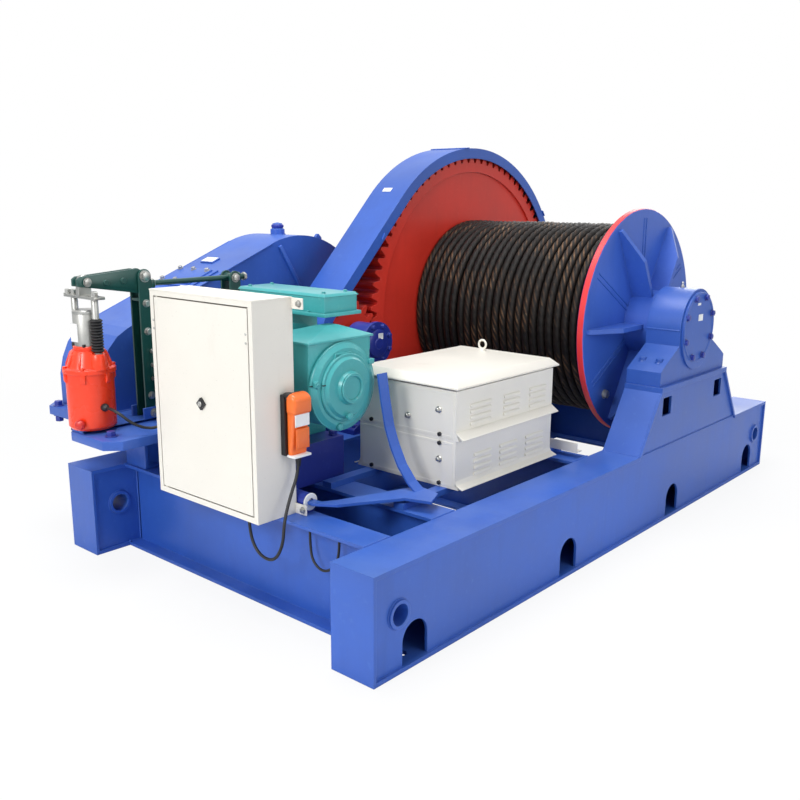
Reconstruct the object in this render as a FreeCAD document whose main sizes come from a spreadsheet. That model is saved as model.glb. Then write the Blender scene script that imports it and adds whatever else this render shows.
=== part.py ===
import FreeCAD, Part
import math
import os
import re
import Sketcher
from FreeCAD import Placement, Rotation, Vector

# Electric mooring winch on a welded base frame, in millimetres.
# +X runs along the drum from the gear side to the free end, -Y is the side of the control cabinet,
# +Z is up. The origin is the middle of the anchor bolt pattern, on the floor.

SIZES = (
    # base frame
    ("frame_length", 3400, "side beams, front to rear"),
    ("frame_width", 1860, "outside of one side beam to the other"),
    ("frame_height", 385, "floor to the top of the beams"),
    ("beam_width", 195, "flange width of a side beam"),
    ("beam_flange", 16, "flange plate of a side beam"),
    ("beam_web", 12, "web plate of a side beam"),
    ("web_inset", 10, "web set back from the flange edge"),
    ("anchor_row", 2970, "outermost anchor bolts, front to rear"),
    ("anchor_inset", 75, "anchor bolt from the outer edge of a beam"),
    ("anchor_hole", 42, "diameter of an anchor hole"),
    ("arch_width", 130, "bolt pocket in a web"),
    ("arch_height", 162, "crown of a bolt pocket above the floor"),
    ("lift_span", 3140, "lifting tubes, front to rear"),
    ("lift_height", 213, "lifting tube above the floor"),
    ("lift_tube", 100, "outside diameter of a lifting tube"),
    ("lift_bore", 76, "inside diameter of a lifting tube"),
    ("cross_width", 136, "flange width of a cross beam"),
    ("cross_flange", 14, "flange plate of a cross beam"),
    ("cross_web", 12, "web plate of a cross beam"),
    ("front_cross", -1467, "middle of the front cross beam"),
    ("second_cross", -1103, "middle of the second cross beam"),
    ("third_cross", -104, "middle of the third cross beam"),
    ("rear_cross", 1467, "middle of the rear cross beam"),
    ("girder_middle", -370, "inner girder under the pinion bearing, across the frame"),
    ("girder_width", 140, "flange width of the inner girder"),
    ("outrigger_reach", 290, "outrigger beyond the left beam"),
    ("outrigger_front", -1150, "front end of the outrigger"),
    ("outrigger_rear", 0, "rear end of the outrigger"),
    ("outrigger_bar", 100, "width of each bar of the outrigger"),
    # shafts and gears
    ("shaft_height", 835, "motor, gearbox and pinion shafts above the floor"),
    ("drum_height", 930, "drum shaft above the floor"),
    ("drum_middle", 665, "drum shaft behind the origin"),
    ("motor_middle", -1212, "motor shaft before the origin"),
    ("tooth_module", 20, "pitch diameter over teeth"),
    ("gear_teeth", 84, "teeth of the drum gear"),
    ("pinion_teeth", 18, "teeth of the pinion"),
    ("tooth_backlash", 1.2, "play between the teeth at the pitch circle"),
    ("gear_face", -490, "outer face of the gear rim"),
    ("gear_width", 200, "face width of the drum gear"),
    ("pinion_overhang", 5, "pinion wider than the gear on each side"),
    ("gear_rim_radius", 763, "inside of the gear rim"),
    ("gear_web", 30, "web disc of the gear"),
    ("gear_web_inset", 12, "web disc set back from the rim face"),
    # drum
    ("drum_shaft_radius", 80, "journals of the drum shaft"),
    ("seat_gap", 0.2, "wheels on their shafts, and rope on the barrel"),
    ("shaft_play", 0.05, "radial play of a journal in its bore"),
    ("drum_hub_radius", 165, "hubs on the drum shaft"),
    ("barrel_radius", 410, "outside of the drum barrel"),
    ("barrel_wall", 30, "wall of the drum barrel"),
    ("rope_radius", 495, "outside of the rope winding"),
    ("flange_face", 600, "outer face of the drum flange"),
    ("flange_plate", 35, "thickness of the drum flange"),
    ("flange_radius", 570, "outside of the drum flange"),
    ("rib_height", 105, "flange rib at the hub"),
    ("rib_plate", 22, "thickness of a flange rib"),
    ("rib_reach", 540, "outer end of a flange rib"),
    ("rib_count", 6, "ribs on the drum flange"),
    # pedestals and drum bearings
    ("pedestal_height", 297, "pedestal above the beam"),
    ("pedestal_foot", 1130, "length of a pedestal at its foot"),
    ("pedestal_head", 765, "length of a pedestal at its head"),
    ("pedestal_top", 25, "head plate of a pedestal"),
    ("pedestal_slope", 16, "sloping end plates of a pedestal"),
    ("slot_width", 90, "slot in the outer pedestal web"),
    ("slot_height", 88, "height of that slot"),
    ("slot_spacing", 600, "slots from each other"),
    ("slot_drop", 30, "slot below the underside of the head plate"),
    ("bearing_width", 175, "pillow block along the shaft"),
    ("bearing_foot", 740, "length of the pillow block's foot"),
    ("bearing_foot_edge", 70, "height of the foot at its ends"),
    ("bearing_radius", 190, "round cap of the pillow block"),
    ("cover_radius", 176, "end cover of the pillow block"),
    ("cover_plate", 10, "thickness of that cover"),
    ("cover_drop", 32, "cover stretched downwards"),
    # pinion line
    ("pinion_shaft_radius", 60, "pinion shaft"),
    ("pinion_bearing_radius", 108, "outboard bearing of the pinion"),
    ("pinion_bearing_face", -300, "outer face of that bearing"),
    ("pinion_bearing_length", 150, "length of that bearing"),
    ("coupling_radius", 140, "coupling of the gearbox output"),
    # guard
    ("guard_gap", 28, "tooth tips to the inside of the guard"),
    ("guard_plate", 6, "sheet of the guard"),
    ("guard_lip", 50, "side lips of the guard"),
    ("guard_side_gap", 14, "gear rim to the inside of a lip"),
    # gearbox
    ("gearbox_face", -860, "side of the gearbox towards the drum"),
    ("gearbox_width", 350, "gearbox across"),
    ("gearbox_hump", 515, "round top over the output gear"),
    ("gearbox_slope", 22, "slope of the top, degrees"),
    ("gearbox_front", -1555, "front wall of the gearbox"),
    ("gearbox_shoulder", -1400, "end of the sloped top"),
    ("gearbox_flange_top", 590, "top of the gearbox flange"),
    ("gearbox_flange", 40, "thickness of the gearbox flange"),
    ("gearbox_flange_rim", 65, "flange beyond the walls"),
    # brake
    ("brake_middle", -660, "middle of the brake across the frame"),
    ("brake_wheel_radius", 200, "brake wheel"),
    ("brake_wheel_width", 170, "rim of the brake wheel"),
    ("brake_base_height", 515, "underside of the brake base"),
    ("brake_arm_gap", 240, "arm from the shaft, front and rear"),
    ("brake_arm_top", 1250, "top of the arms"),
    ("brake_arm_width", 60, "channel of an arm along the shaft"),
    ("brake_arm_depth", 55, "channel of an arm across the shaft"),
    ("thruster_middle", -1715, "thruster before the origin"),
    ("thruster_radius", 118, "body of the thruster"),
    ("lever_play", 6, "eye of the thruster rod wider than its pin"),
    # motor
    ("motor_radius", 230, "body of the motor"),
    ("motor_rear", -400, "drive end of the motor body"),
    ("motor_nose", 40, "slip-ring end of the motor body"),
    ("motor_foot_height", 560, "top of the motor stand"),
    ("slip_ring_width", 330, "slip-ring housing across"),
    ("slip_ring_top", 1050, "top of the slip-ring housing"),
    ("slip_ring_nose", 300, "end of the slip-ring housing"),
    ("end_cover_radius", 172, "round end cover of the motor"),
    ("end_cover_depth", 42, "depth of that cover"),
    # cabinet
    ("cabinet_width", 610, "control cabinet along the winch front"),
    ("cabinet_depth", 185, "depth of the cabinet"),
    ("cabinet_tall", 810, "height of the cabinet"),
    ("cabinet_front", -1640, "front of the cabinet"),
    ("cabinet_wall", 4, "sheet of the cabinet"),
    ("cabinet_border", 22, "frame round the door"),
    ("door_gap", 5, "gap round the door"),
    ("door_plate", 12, "depth of the door with its folded edges"),
    ("door_pin", 5, "radius of a hinge pin"),
    # resistor boxes
    ("resistor_left", 110, "left side of the resistor boxes"),
    ("resistor_right", 630, "right side of the resistor boxes"),
    ("resistor_front", -905, "front of the resistor boxes"),
    ("resistor_rear", -205, "rear of the resistor boxes"),
    ("resistor_tall", 200, "height of one box"),
    ("resistor_rail", 25, "rails under the boxes"),
    ("resistor_wall", 3, "sheet of the boxes"),
    ("resistor_lid_rim", 26, "lid beyond the boxes"),
)

DOC = FreeCAD.newDocument("MooringWinch")
ALIASES = {alias for alias, value, note in SIZES}
SIZE = {alias: value for alias, value, note in SIZES}
NODES = []

SHEET = DOC.addObject("Spreadsheet::Sheet", "Sizes")
for row, (alias, value, note) in enumerate(SIZES, start=1):
    SHEET.set("A%d" % row, note)
    SHEET.set("B%d" % row, str(value))
    SHEET.setAlias("B%d" % row, alias)
DOC.recompute()

# Places worked out from the sizes, as formulas.
PITCH = "((gear_teeth + pinion_teeth) * tooth_module / 2)"
PINION_Y = "(drum_middle - sqrt(%s^2 - (drum_height - shaft_height)^2))" % PITCH
BEAM_OUT = "(frame_width / 2)"
BEAM_IN = "(frame_width / 2 - beam_width)"
FRAME_TOP = "frame_height"
HEAD_TOP = "(frame_height + pedestal_height)"
BEARING_OUT = "(frame_width / 2 - beam_width + bearing_width)"
GUARD_RIGHT = "(gear_face + guard_side_gap + guard_plate)"
GUARD_LEFT = "(gear_face - gear_width - guard_side_gap - guard_plate)"
GEARBOX_LEFT = "(gearbox_face - gearbox_width)"
CABINET_BACK = "(cabinet_front + cabinet_depth)"


def sized(formula):
    """the formula with every size name pointed at its cell"""
    return re.sub(r"[a-z]\w*", lambda word: "Sizes." + word[0] if word[0] in ALIASES else word[0], formula)


def bind(thing, **formulas):
    """set properties by formula; a double underscore stands for a dot"""
    for field, formula in formulas.items():
        thing.setExpression(field.replace("__", "."), sized(formula))
    return thing


def box(name, x, y, z):
    """a block between two formulas on each axis"""
    block = DOC.addObject("Part::Box", name)
    return bind(block, Length="(%s) - (%s)" % (x[1], x[0]), Width="(%s) - (%s)" % (y[1], y[0]),
                Height="(%s) - (%s)" % (z[1], z[0]), Placement__Base__x=x[0],
                Placement__Base__y=y[0], Placement__Base__z=z[0])


TURN = {"x": Rotation(Vector(0, 1, 0), 90), "y": Rotation(Vector(1, 0, 0), -90), "z": Rotation()}


def rod(name, axis, radius, span, at):
    """a cylinder along one axis; at gives the two other coordinates in X, Y, Z order"""
    cylinder = DOC.addObject("Part::Cylinder", name)
    cylinder.Placement = Placement(Vector(), TURN[axis])
    others = [letter for letter in "xyz" if letter != axis]
    places = {"Placement__Base__" + axis: span[0]}
    places.update({"Placement__Base__" + letter: formula for letter, formula in zip(others, at)})
    return bind(cylinder, Radius=radius, Height="(%s) - (%s)" % (span[1], span[0]), **places)


def origin_plane(body, role):
    return [thing for thing in body.Origin.OriginFeatures if thing.Role == role][0]


def outline(body, plane, corners):
    """a closed sketch of straight lines, each corner held at its two distances from the origin"""
    sketch = body.newObject("Sketcher::SketchObject", body.Name + "_outline")
    sketch.AttachmentSupport = [(origin_plane(body, plane), "")]
    sketch.MapMode = "FlatFace"
    count = len(corners)
    turn = 2 * math.pi / count
    start = [Vector(1000 * math.cos(turn * i), 1000 * math.sin(turn * i), 0) for i in range(count)]
    for i in range(count):
        sketch.addGeometry(Part.LineSegment(start[i], start[(i + 1) % count]), False)
    for i in range(count):
        sketch.addConstraint(Sketcher.Constraint("Coincident", i, 2, (i + 1) % count, 1))
    for i, (across, up) in enumerate(corners):
        for kind, first, formula in (("DistanceX", start[i].x, across), ("DistanceY", start[i].y, up)):
            number = sketch.addConstraint(Sketcher.Constraint(kind, i, 1, first))
            sketch.setExpression("Constraints[%d]" % number, sized(formula))
    return sketch


PLANES = {"yz": ("YZ_Plane", "x", 0), "xz": ("XZ_Plane", "y", 1), "xy": ("XY_Plane", "z", 0)}


def slab(name, plane, corners, span):
    """a padded outline on a plane, between two formulas along the plane's normal"""
    role, axis, far = PLANES[plane]
    body = DOC.addObject("PartDesign::Body", name)
    pad = body.newObject("PartDesign::Pad", name + "_pad")
    pad.Profile = outline(body, role, corners)
    bind(pad, Length="(%s) - (%s)" % (span[1], span[0]))
    bind(body, **{"Placement__Base__" + axis: span[far]})
    return body


def turned(name, corners, at):
    """a body turned about an axis along X; corners are (x, radius), at is its (y, z)"""
    body = DOC.addObject("PartDesign::Body", name)
    spin = body.newObject("PartDesign::Revolution", name + "_spin")
    sketch = outline(body, "XZ_Plane", corners)
    spin.Profile = sketch
    spin.ReferenceAxis = (sketch, ["H_Axis"])
    spin.Angle = 360
    return bind(body, Placement__Base__y=at[0], Placement__Base__z=at[1])


def turned_up(name, corners, at):
    """a body turned about a vertical axis; corners are (radius, z), at is its (x, y)"""
    body = DOC.addObject("PartDesign::Body", name)
    spin = body.newObject("PartDesign::Revolution", name + "_spin")
    sketch = outline(body, "XZ_Plane", corners)
    spin.Profile = sketch
    spin.ReferenceAxis = (sketch, ["V_Axis"])
    spin.Angle = 360
    return bind(body, Placement__Base__x=at[0], Placement__Base__y=at[1])


def fused(name, pieces):
    joined = DOC.addObject("Part::MultiFuse", name)
    joined.Shapes = pieces
    joined.Refine = True
    return joined


def cut(name, base, tools):
    result = DOC.addObject("Part::Cut", name)
    result.Base = base
    result.Tool = tools[0] if len(tools) == 1 else fused(name + "_tools", tools)
    result.Refine = True
    return result


def group(name, pieces):
    """solids that don't touch, kept in one node"""
    together = DOC.addObject("Part::Compound", name)
    together.Links = pieces
    return together


def mirrored(name, source):
    """the same piece on the other side of the frame"""
    twin = DOC.addObject("Part::Mirroring", name)
    twin.Source = source
    twin.Normal = Vector(1, 0, 0)
    return twin


def made(name, shape):
    """a piece whose shape is worked out with Part's own functions"""
    piece = DOC.addObject("Part::Feature", name)
    piece.Shape = shape
    return piece


def node(label, piece):
    piece.Label = label
    NODES.append(piece)
    return piece


# ---------------------------------------------------------------- base frame

def arch_tools(name, row):
    """an arched bolt pocket, cut through the outer web from the top of the bottom flange"""
    block = box(name + "_legs", ("%s - web_inset - 2 * beam_web" % BEAM_OUT, "%s + 1" % BEAM_OUT),
                ("%s - arch_width / 2" % row, "%s + arch_width / 2" % row),
                ("beam_flange", "arch_height - arch_width / 2"))
    crown = rod(name + "_crown", "x", "arch_width / 2",
                ("%s - web_inset - 2 * beam_web" % BEAM_OUT, "%s + 1" % BEAM_OUT),
                (row, "arch_height - arch_width / 2"))
    return [block, crown]


def side_beam():
    ends = ("-frame_length / 2", "frame_length / 2")
    wide = (BEAM_IN, BEAM_OUT)
    inner = ("%s + web_inset" % BEAM_IN, "%s + web_inset + beam_web" % BEAM_IN)
    outer = ("%s - web_inset - beam_web" % BEAM_OUT, "%s - web_inset" % BEAM_OUT)
    deep = ("beam_flange / 2", "frame_height - beam_flange / 2")
    plates = [
        box("beam_bottom", wide, ends, ("0", "beam_flange")),
        box("beam_top", wide, ends, ("frame_height - beam_flange", "frame_height")),
        box("beam_inner_web", inner, ends, deep),
        box("beam_outer_web", outer, ends, deep),
        box("beam_front_end", wide, ("-frame_length / 2", "-frame_length / 2 + beam_web"), deep),
        box("beam_rear_end", wide, ("frame_length / 2 - beam_web", "frame_length / 2"), deep),
    ]
    tools = []
    for number, share in enumerate(("-1 / 2", "-1 / 6", "1 / 6", "1 / 2")):
        row = "(anchor_row * %s)" % share
        tools += arch_tools("arch_%d" % number, row)
        tools.append(rod("anchor_%d" % number, "z", "anchor_hole / 2", ("-1", "beam_flange + 1"),
                         ("%s - anchor_inset" % BEAM_OUT, row)))
    for number, share in enumerate(("-1 / 2", "1 / 2")):
        tools.append(rod("lift_%d" % number, "x", "lift_tube / 2", ("%s - 1" % BEAM_IN, "%s + 1" % BEAM_OUT),
                         ("lift_span * %s" % share, "lift_height")))
    tools.append(box("pedestal_flush", ("%s - web_inset" % BEAM_OUT, "%s + 1" % BEAM_OUT),
                     ("drum_middle - pedestal_foot / 2", "drum_middle + pedestal_foot / 2"),
                     ("frame_height - beam_flange", "frame_height + 1")))
    right = node("right_side_beam", cut("right_beam", fused("beam_plates", plates), tools))
    node("left_side_beam", mirrored("left_beam", right))


def lifting_tubes():
    tubes = []
    for side, low, high in (("right", BEAM_IN, BEAM_OUT), ("left", "-" + BEAM_OUT, "-" + BEAM_IN)):
        for end, share in (("front", "-1 / 2"), ("rear", "1 / 2")):
            name = "tube_%s_%s" % (side, end)
            at = ("lift_span * %s" % share, "lift_height")
            tubes.append(cut(name, rod(name + "_wall", "x", "lift_tube / 2", (low, high), at),
                             [rod(name + "_bore", "x", "lift_bore / 2", (low + " - 1", high + " + 1"), at)]))
    node("lifting_tubes", group("tubes", tubes))


def cross_beam(name, middle, left, right):
    """an I beam across the frame: two flanges and a web that reaches the webs of the side beams"""
    half = "cross_width / 2"
    flange = ("%s - %s" % (middle, half), "%s + %s" % (middle, half))
    web = ("%s - cross_web / 2" % middle, "%s + cross_web / 2" % middle)
    return fused(name, [
        box(name + "_bottom", (left, right), flange, ("0", "cross_flange")),
        box(name + "_top", (left, right), flange, ("frame_height - cross_flange", "frame_height")),
        box(name + "_web", (left, right), web, ("cross_flange / 2", "frame_height - cross_flange / 2")),
    ])


def cross_beams():
    left, right = "-" + BEAM_IN, BEAM_IN
    girder_left = "(girder_middle - girder_width / 2)"
    girder_right = "(girder_middle + girder_width / 2)"
    node("front_cross_beam", cross_beam("cross_front", "front_cross", left, right))
    node("second_cross_beam", cross_beam("cross_second", "second_cross", left, right))
    node("third_cross_beam", group("cross_third", [
        cross_beam("cross_third_left", "third_cross", left, girder_left),
        cross_beam("cross_third_right", "third_cross", girder_right, right)]))
    node("rear_cross_beam", cross_beam("cross_rear", "rear_cross", left, right))
    run = ("second_cross + cross_width / 2", "rear_cross - cross_width / 2")
    node("inner_girder", fused("girder", [
        box("girder_bottom", (girder_left, girder_right), run, ("0", "cross_flange")),
        box("girder_top", (girder_left, girder_right), run, ("frame_height - cross_flange", "frame_height")),
        box("girder_web", ("girder_middle - cross_web / 2", "girder_middle + cross_web / 2"), run,
            ("cross_flange / 2", "frame_height - cross_flange / 2")),
    ]))


def outrigger():
    """a ladder of bars beside the left beam, under the overhanging half of the gearbox"""
    inner = "-" + BEAM_OUT
    outer = "(-%s - outrigger_reach)" % BEAM_OUT
    tall = ("0", FRAME_TOP)
    bars = [box("outrigger_rail", (outer, "%s + outrigger_bar" % outer), ("outrigger_front", "outrigger_rear"),
                tall)]
    for number in range(4):
        start = "(outrigger_front + (outrigger_rear - outrigger_front - outrigger_bar) * %d / 3)" % number
        bars.append(box("outrigger_rung_%d" % number, (outer, inner), (start, "%s + outrigger_bar" % start), tall))
    node("gearbox_outrigger", fused("outrigger", bars))


# ---------------------------------------------------------------- drum supports

def pedestal():
    """a welded trapezoid: two webs, sloping end plates and a head plate"""
    foot = "pedestal_foot / 2"
    head = "pedestal_head / 2"
    low, high = FRAME_TOP, "(%s - pedestal_top)" % HEAD_TOP
    corners = [("drum_middle - " + foot, low), ("drum_middle + " + foot, low),
               ("drum_middle + " + head, high), ("drum_middle - " + head, high)]
    outer = slab("pedestal_outer_web", "yz", corners, ("%s - web_inset - beam_web" % BEAM_OUT,
                                                      "%s - web_inset" % BEAM_OUT))
    inner = slab("pedestal_inner_web", "yz", corners, ("%s + web_inset" % BEAM_IN,
                                                      "%s + web_inset + beam_web" % BEAM_IN))
    slopes = []
    for side, sign in (("front", "-"), ("rear", "+")):
        turn = "+" if sign == "-" else "-"
        slopes.append(slab("pedestal_%s_slope" % side, "yz", [
            ("drum_middle %s %s" % (sign, foot), low),
            ("drum_middle %s %s" % (sign, head), high),
            ("drum_middle %s %s %s pedestal_slope" % (sign, head, turn), high),
            ("drum_middle %s %s %s pedestal_slope" % (sign, foot, turn), low)], (BEAM_IN, BEAM_OUT)))
    top = box("pedestal_head_plate", (BEAM_IN, BEAM_OUT), ("drum_middle - " + head, "drum_middle + " + head),
              (high, HEAD_TOP))
    slots = [box("slot_%d" % number, ("%s - 3 * beam_web" % BEAM_OUT, "%s + 1" % BEAM_OUT),
                 ("drum_middle + slot_spacing * %s - slot_width / 2" % share,
                  "drum_middle + slot_spacing * %s + slot_width / 2" % share),
                 ("%s - slot_drop - slot_height" % high, "%s - slot_drop" % high))
             for number, share in enumerate(("-1 / 2", "1 / 2"))]
    right = cut("pedestal", fused("pedestal_plates", [outer, inner, top] + slopes), slots)
    node("drum_pedestal_right", right)
    node("drum_pedestal_left", mirrored("pedestal_twin", right))


def drum_bearings():
    """pillow blocks with a long foot, a round cap, a bore for the journal and a stretched end cover"""
    span = (BEAM_IN, BEARING_OUT)
    foot = "bearing_foot / 2"
    edge = "(%s + bearing_foot_edge)" % HEAD_TOP
    corners = [
        ("drum_middle - " + foot, HEAD_TOP), ("drum_middle + " + foot, HEAD_TOP),
        ("drum_middle + %s" % foot, edge), ("drum_middle + %s - 40" % foot, edge + " + 25"),
        ("drum_middle + bearing_radius", "drum_height - 75"), ("drum_middle + bearing_radius", "drum_height"),
        ("drum_middle - bearing_radius", "drum_height"), ("drum_middle - bearing_radius", "drum_height - 75"),
        ("drum_middle - %s + 40" % foot, edge + " + 25"), ("drum_middle - %s" % foot, edge)]
    at = ("drum_middle", "drum_height")
    block = fused("bearing_block", [slab("bearing_foot_body", "yz", corners, span),
                                    rod("bearing_cap", "x", "bearing_radius", span, at)])
    bore = rod("bearing_bore", "x", "drum_shaft_radius + shaft_play",
               (span[0] + " - 1", span[1] + " + 1"), at)
    right = node("drum_bearing_right", cut("bearing", block, [bore]))
    node("drum_bearing_left", mirrored("bearing_twin", right))
    plate = (BEARING_OUT, BEARING_OUT + " + cover_plate")
    cover = fused("cover", [
        rod("cover_top", "x", "cover_radius", plate, at),
        rod("cover_bottom", "x", "cover_radius", plate, ("drum_middle", "drum_height - cover_drop")),
        box("cover_sides", plate, ("drum_middle - cover_radius", "drum_middle + cover_radius"),
            ("drum_height - cover_drop", "drum_height"))])
    node("drum_bearing_covers", group("covers", [cover, mirrored("cover_twin", cover)]))


# ---------------------------------------------------------------- gears

def gear_outline(teeth, first_angle):
    """a spur gear of 20 degree involute teeth as a closed wire, one tooth centred on first_angle"""
    module = SIZE["tooth_module"]
    pitch = module * teeth / 2
    tip = pitch + module
    root = pitch - 1.25 * module
    base = pitch * math.cos(math.radians(20))
    start = max(base, root)

    def involute(radius):
        roll = math.sqrt((radius / base) ** 2 - 1)
        return roll - math.atan(roll)

    half = math.pi / (2 * teeth) - SIZE["tooth_backlash"] / 4 / pitch + involute(pitch)
    steps = 4
    radii = [start + (tip - start) * i / steps for i in range(steps + 1)]
    flank = [(radius, half - involute(radius)) for radius in radii]
    if root < start:
        flank = [(root, flank[0][1])] + flank
    points = []
    for tooth in range(teeth):
        middle = first_angle + 2 * math.pi * tooth / teeth
        for radius, angle in [(r, -a) for r, a in flank] + [(r, a) for r, a in reversed(flank)]:
            points.append(Vector(0, radius * math.cos(middle + angle), radius * math.sin(middle + angle)))
    return Part.makePolygon(points + [points[0]])


def gear_blank(teeth, first_angle, inside, left, width):
    """the toothed ring: the outline less a round hole, drawn out along X"""
    hole = Part.Wire(Part.makeCircle(inside, Vector(), Vector(1, 0, 0)))
    face = Part.makeFace([gear_outline(teeth, first_angle), hole], "Part::FaceMakerBullseye")
    ring = face.extrude(Vector(width, 0, 0))
    ring.translate(Vector(left, 0, 0))
    return ring


def value(formula):
    """the number that a formula over the sizes stands for"""
    SHEET.set("D1", "=" + re.sub(r"\bSizes\.", "", sized(formula)))
    DOC.recompute()
    return float(SHEET.get("D1"))


DRUM_AT = ("drum_middle", "drum_height")
PINION_AT = (PINION_Y, "shaft_height")
SEAT = "seat_gap"


def mesh_angle():
    """direction from the drum gear to the pinion, in the plane across the shafts"""
    return math.atan2(SIZE["shaft_height"] - SIZE["drum_height"], value(PINION_Y) - SIZE["drum_middle"])


def drum():
    """everything that turns with the drum shaft"""
    journal = "drum_shaft_radius"
    middle = "(drum_shaft_radius + 15)"
    end = "(%s - 5)" % BEARING_OUT
    inside = "(%s - 5)" % BEAM_IN
    node("drum_shaft", turned("drum_axle", [
        ("-" + end, "0"), ("-" + end, journal), ("-" + inside, journal), ("-" + inside, middle),
        (inside, middle), (inside, journal), (end, journal), (end, "0")], DRUM_AT))
    bore = "(%s + %s)" % (middle, SEAT)
    web_face = "(gear_face - gear_web_inset)"
    plate = "(flange_face - flange_plate)"
    node("drum_barrel", turned("barrel", [
        (web_face, "barrel_radius - barrel_wall"), (web_face, "barrel_radius"),
        (plate, "barrel_radius"), (plate, "barrel_radius - barrel_wall")], DRUM_AT))
    wound = "(barrel_radius + %s)" % SEAT
    node("rope_winding", turned("winding", [
        (web_face + " + 2", wound), (web_face + " + 2", "rope_radius"),
        (plate + " - 4", "rope_radius"), (plate + " - 4", wound)], DRUM_AT))
    disc = turned("flange_disc", [
        (plate, bore), (plate, "flange_radius - 4"), (plate + " + 4", "flange_radius"),
        ("flange_face - 4", "flange_radius"), ("flange_face", "flange_radius - 4"),
        ("flange_face", "drum_hub_radius"), (inside + " - 5", "drum_hub_radius"), (inside + " - 5", bore)], DRUM_AT)
    ribs = []
    for number in range(SIZE["rib_count"]):
        rib = slab("flange_rib_%d" % number, "xy", [
            ("flange_face - 2", "-drum_hub_radius + 5"), ("flange_face + rib_height", "-drum_hub_radius + 5"),
            ("flange_face + rib_height", "-rib_reach + 170"), ("flange_face + 18", "-rib_reach"),
            ("flange_face - 2", "-rib_reach")], ("-rib_plate / 2", "rib_plate / 2"))
        turn = DOC.addObject("Part::Compound", "flange_rib_place_%d" % number)
        turn.Links = [rib]
        turn.Placement = Placement(Vector(), Rotation(Vector(1, 0, 0), 360 / SIZE["rib_count"] * number))
        bind(turn, Placement__Base__y="drum_middle", Placement__Base__z="drum_height")
        bind(rib, Placement__Base__z="-rib_plate / 2")
        ribs.append(turn)
    node("drum_flange", fused("flange", [disc] + ribs))
    left = "(gear_face - gear_width)"
    ring = made("gear_ring", gear_blank(SIZE["gear_teeth"], mesh_angle(), SIZE["gear_rim_radius"],
                                        value(left), SIZE["gear_width"]))
    bind(ring, Placement__Base__y=DRUM_AT[0], Placement__Base__z=DRUM_AT[1])
    disc = turned("gear_disc", [
        (web_face, bore), (web_face, "gear_rim_radius + 5"), (web_face + " - gear_web", "gear_rim_radius + 5"),
        (web_face + " - gear_web", "drum_hub_radius - 10"), (left + " - 20", "drum_hub_radius - 10"),
        (left + " - 20", bore)], DRUM_AT)
    node("drum_gear", fused("gear", [ring, disc]))


def pinion_line():
    """pinion, its shaft and the gearbox coupling"""
    left = "(gear_face - gear_width - pinion_overhang)"
    face = "pinion_bearing_face"
    node("pinion_shaft", turned("pinion_axle", [
        ("gearbox_face + 0.3", "0"), ("gearbox_face + 0.3", "pinion_shaft_radius"),
        (face + " - 20", "pinion_shaft_radius"), (face + " - 20", "0")], PINION_AT))
    bore = "pinion_shaft_radius + %s" % SEAT
    node("pinion_coupling", turned("coupling", [
        ("gearbox_face + 15", bore), ("gearbox_face + 15", "coupling_radius - 30"),
        ("gearbox_face + 45", "coupling_radius - 30"), ("gearbox_face + 45", "coupling_radius"),
        ("gearbox_face + 85", "coupling_radius"), ("gearbox_face + 85", "coupling_radius - 40"),
        ("gearbox_face + 125", "coupling_radius - 40"), ("gearbox_face + 125", bore)], PINION_AT))
    width = "(gear_width + 2 * pinion_overhang)"
    opposite = mesh_angle() + math.pi + math.pi / SIZE["pinion_teeth"]
    wheel = made("pinion_teeth_ring", gear_blank(SIZE["pinion_teeth"], opposite, value(bore), value(left),
                                                 value(width)))
    node("drive_pinion", bind(wheel, Placement__Base__y=PINION_AT[0], Placement__Base__z=PINION_AT[1]))


def pinion_bearing():
    """outboard bearing: a stand on the inner girder, a round body and a bolted end flange"""
    face = "pinion_bearing_face"
    back = "(pinion_bearing_face - pinion_bearing_length)"
    y, z = PINION_AT
    corners = [(y + " - 150", FRAME_TOP), (y + " + 150", FRAME_TOP), (y + " + 150", "frame_height + 25"),
               (y + " + 95", "frame_height + 60"), (y + " + 90", z), (y + " - 90", z),
               (y + " - 95", "frame_height + 60"), (y + " - 150", "frame_height + 25")]
    stand = slab("bearing_stand", "yz", corners, (back + " + 20", face + " - 25"))
    body = turned("bearing_body", [
        (back, "0"), (back, "pinion_bearing_radius - 18"), (back + " + 12", "pinion_bearing_radius - 10"),
        (face + " - 22", "pinion_bearing_radius - 10"), (face + " - 22", "pinion_bearing_radius"),
        (face, "pinion_bearing_radius"), (face, "0")], PINION_AT)
    bore = rod("pinion_bore", "x", "pinion_shaft_radius + shaft_play", (back + " - 1", face + " - 15"), PINION_AT)
    node("pinion_bearing", cut("pinion_pillow", fused("pinion_block", [stand, body]), [bore]))


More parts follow.
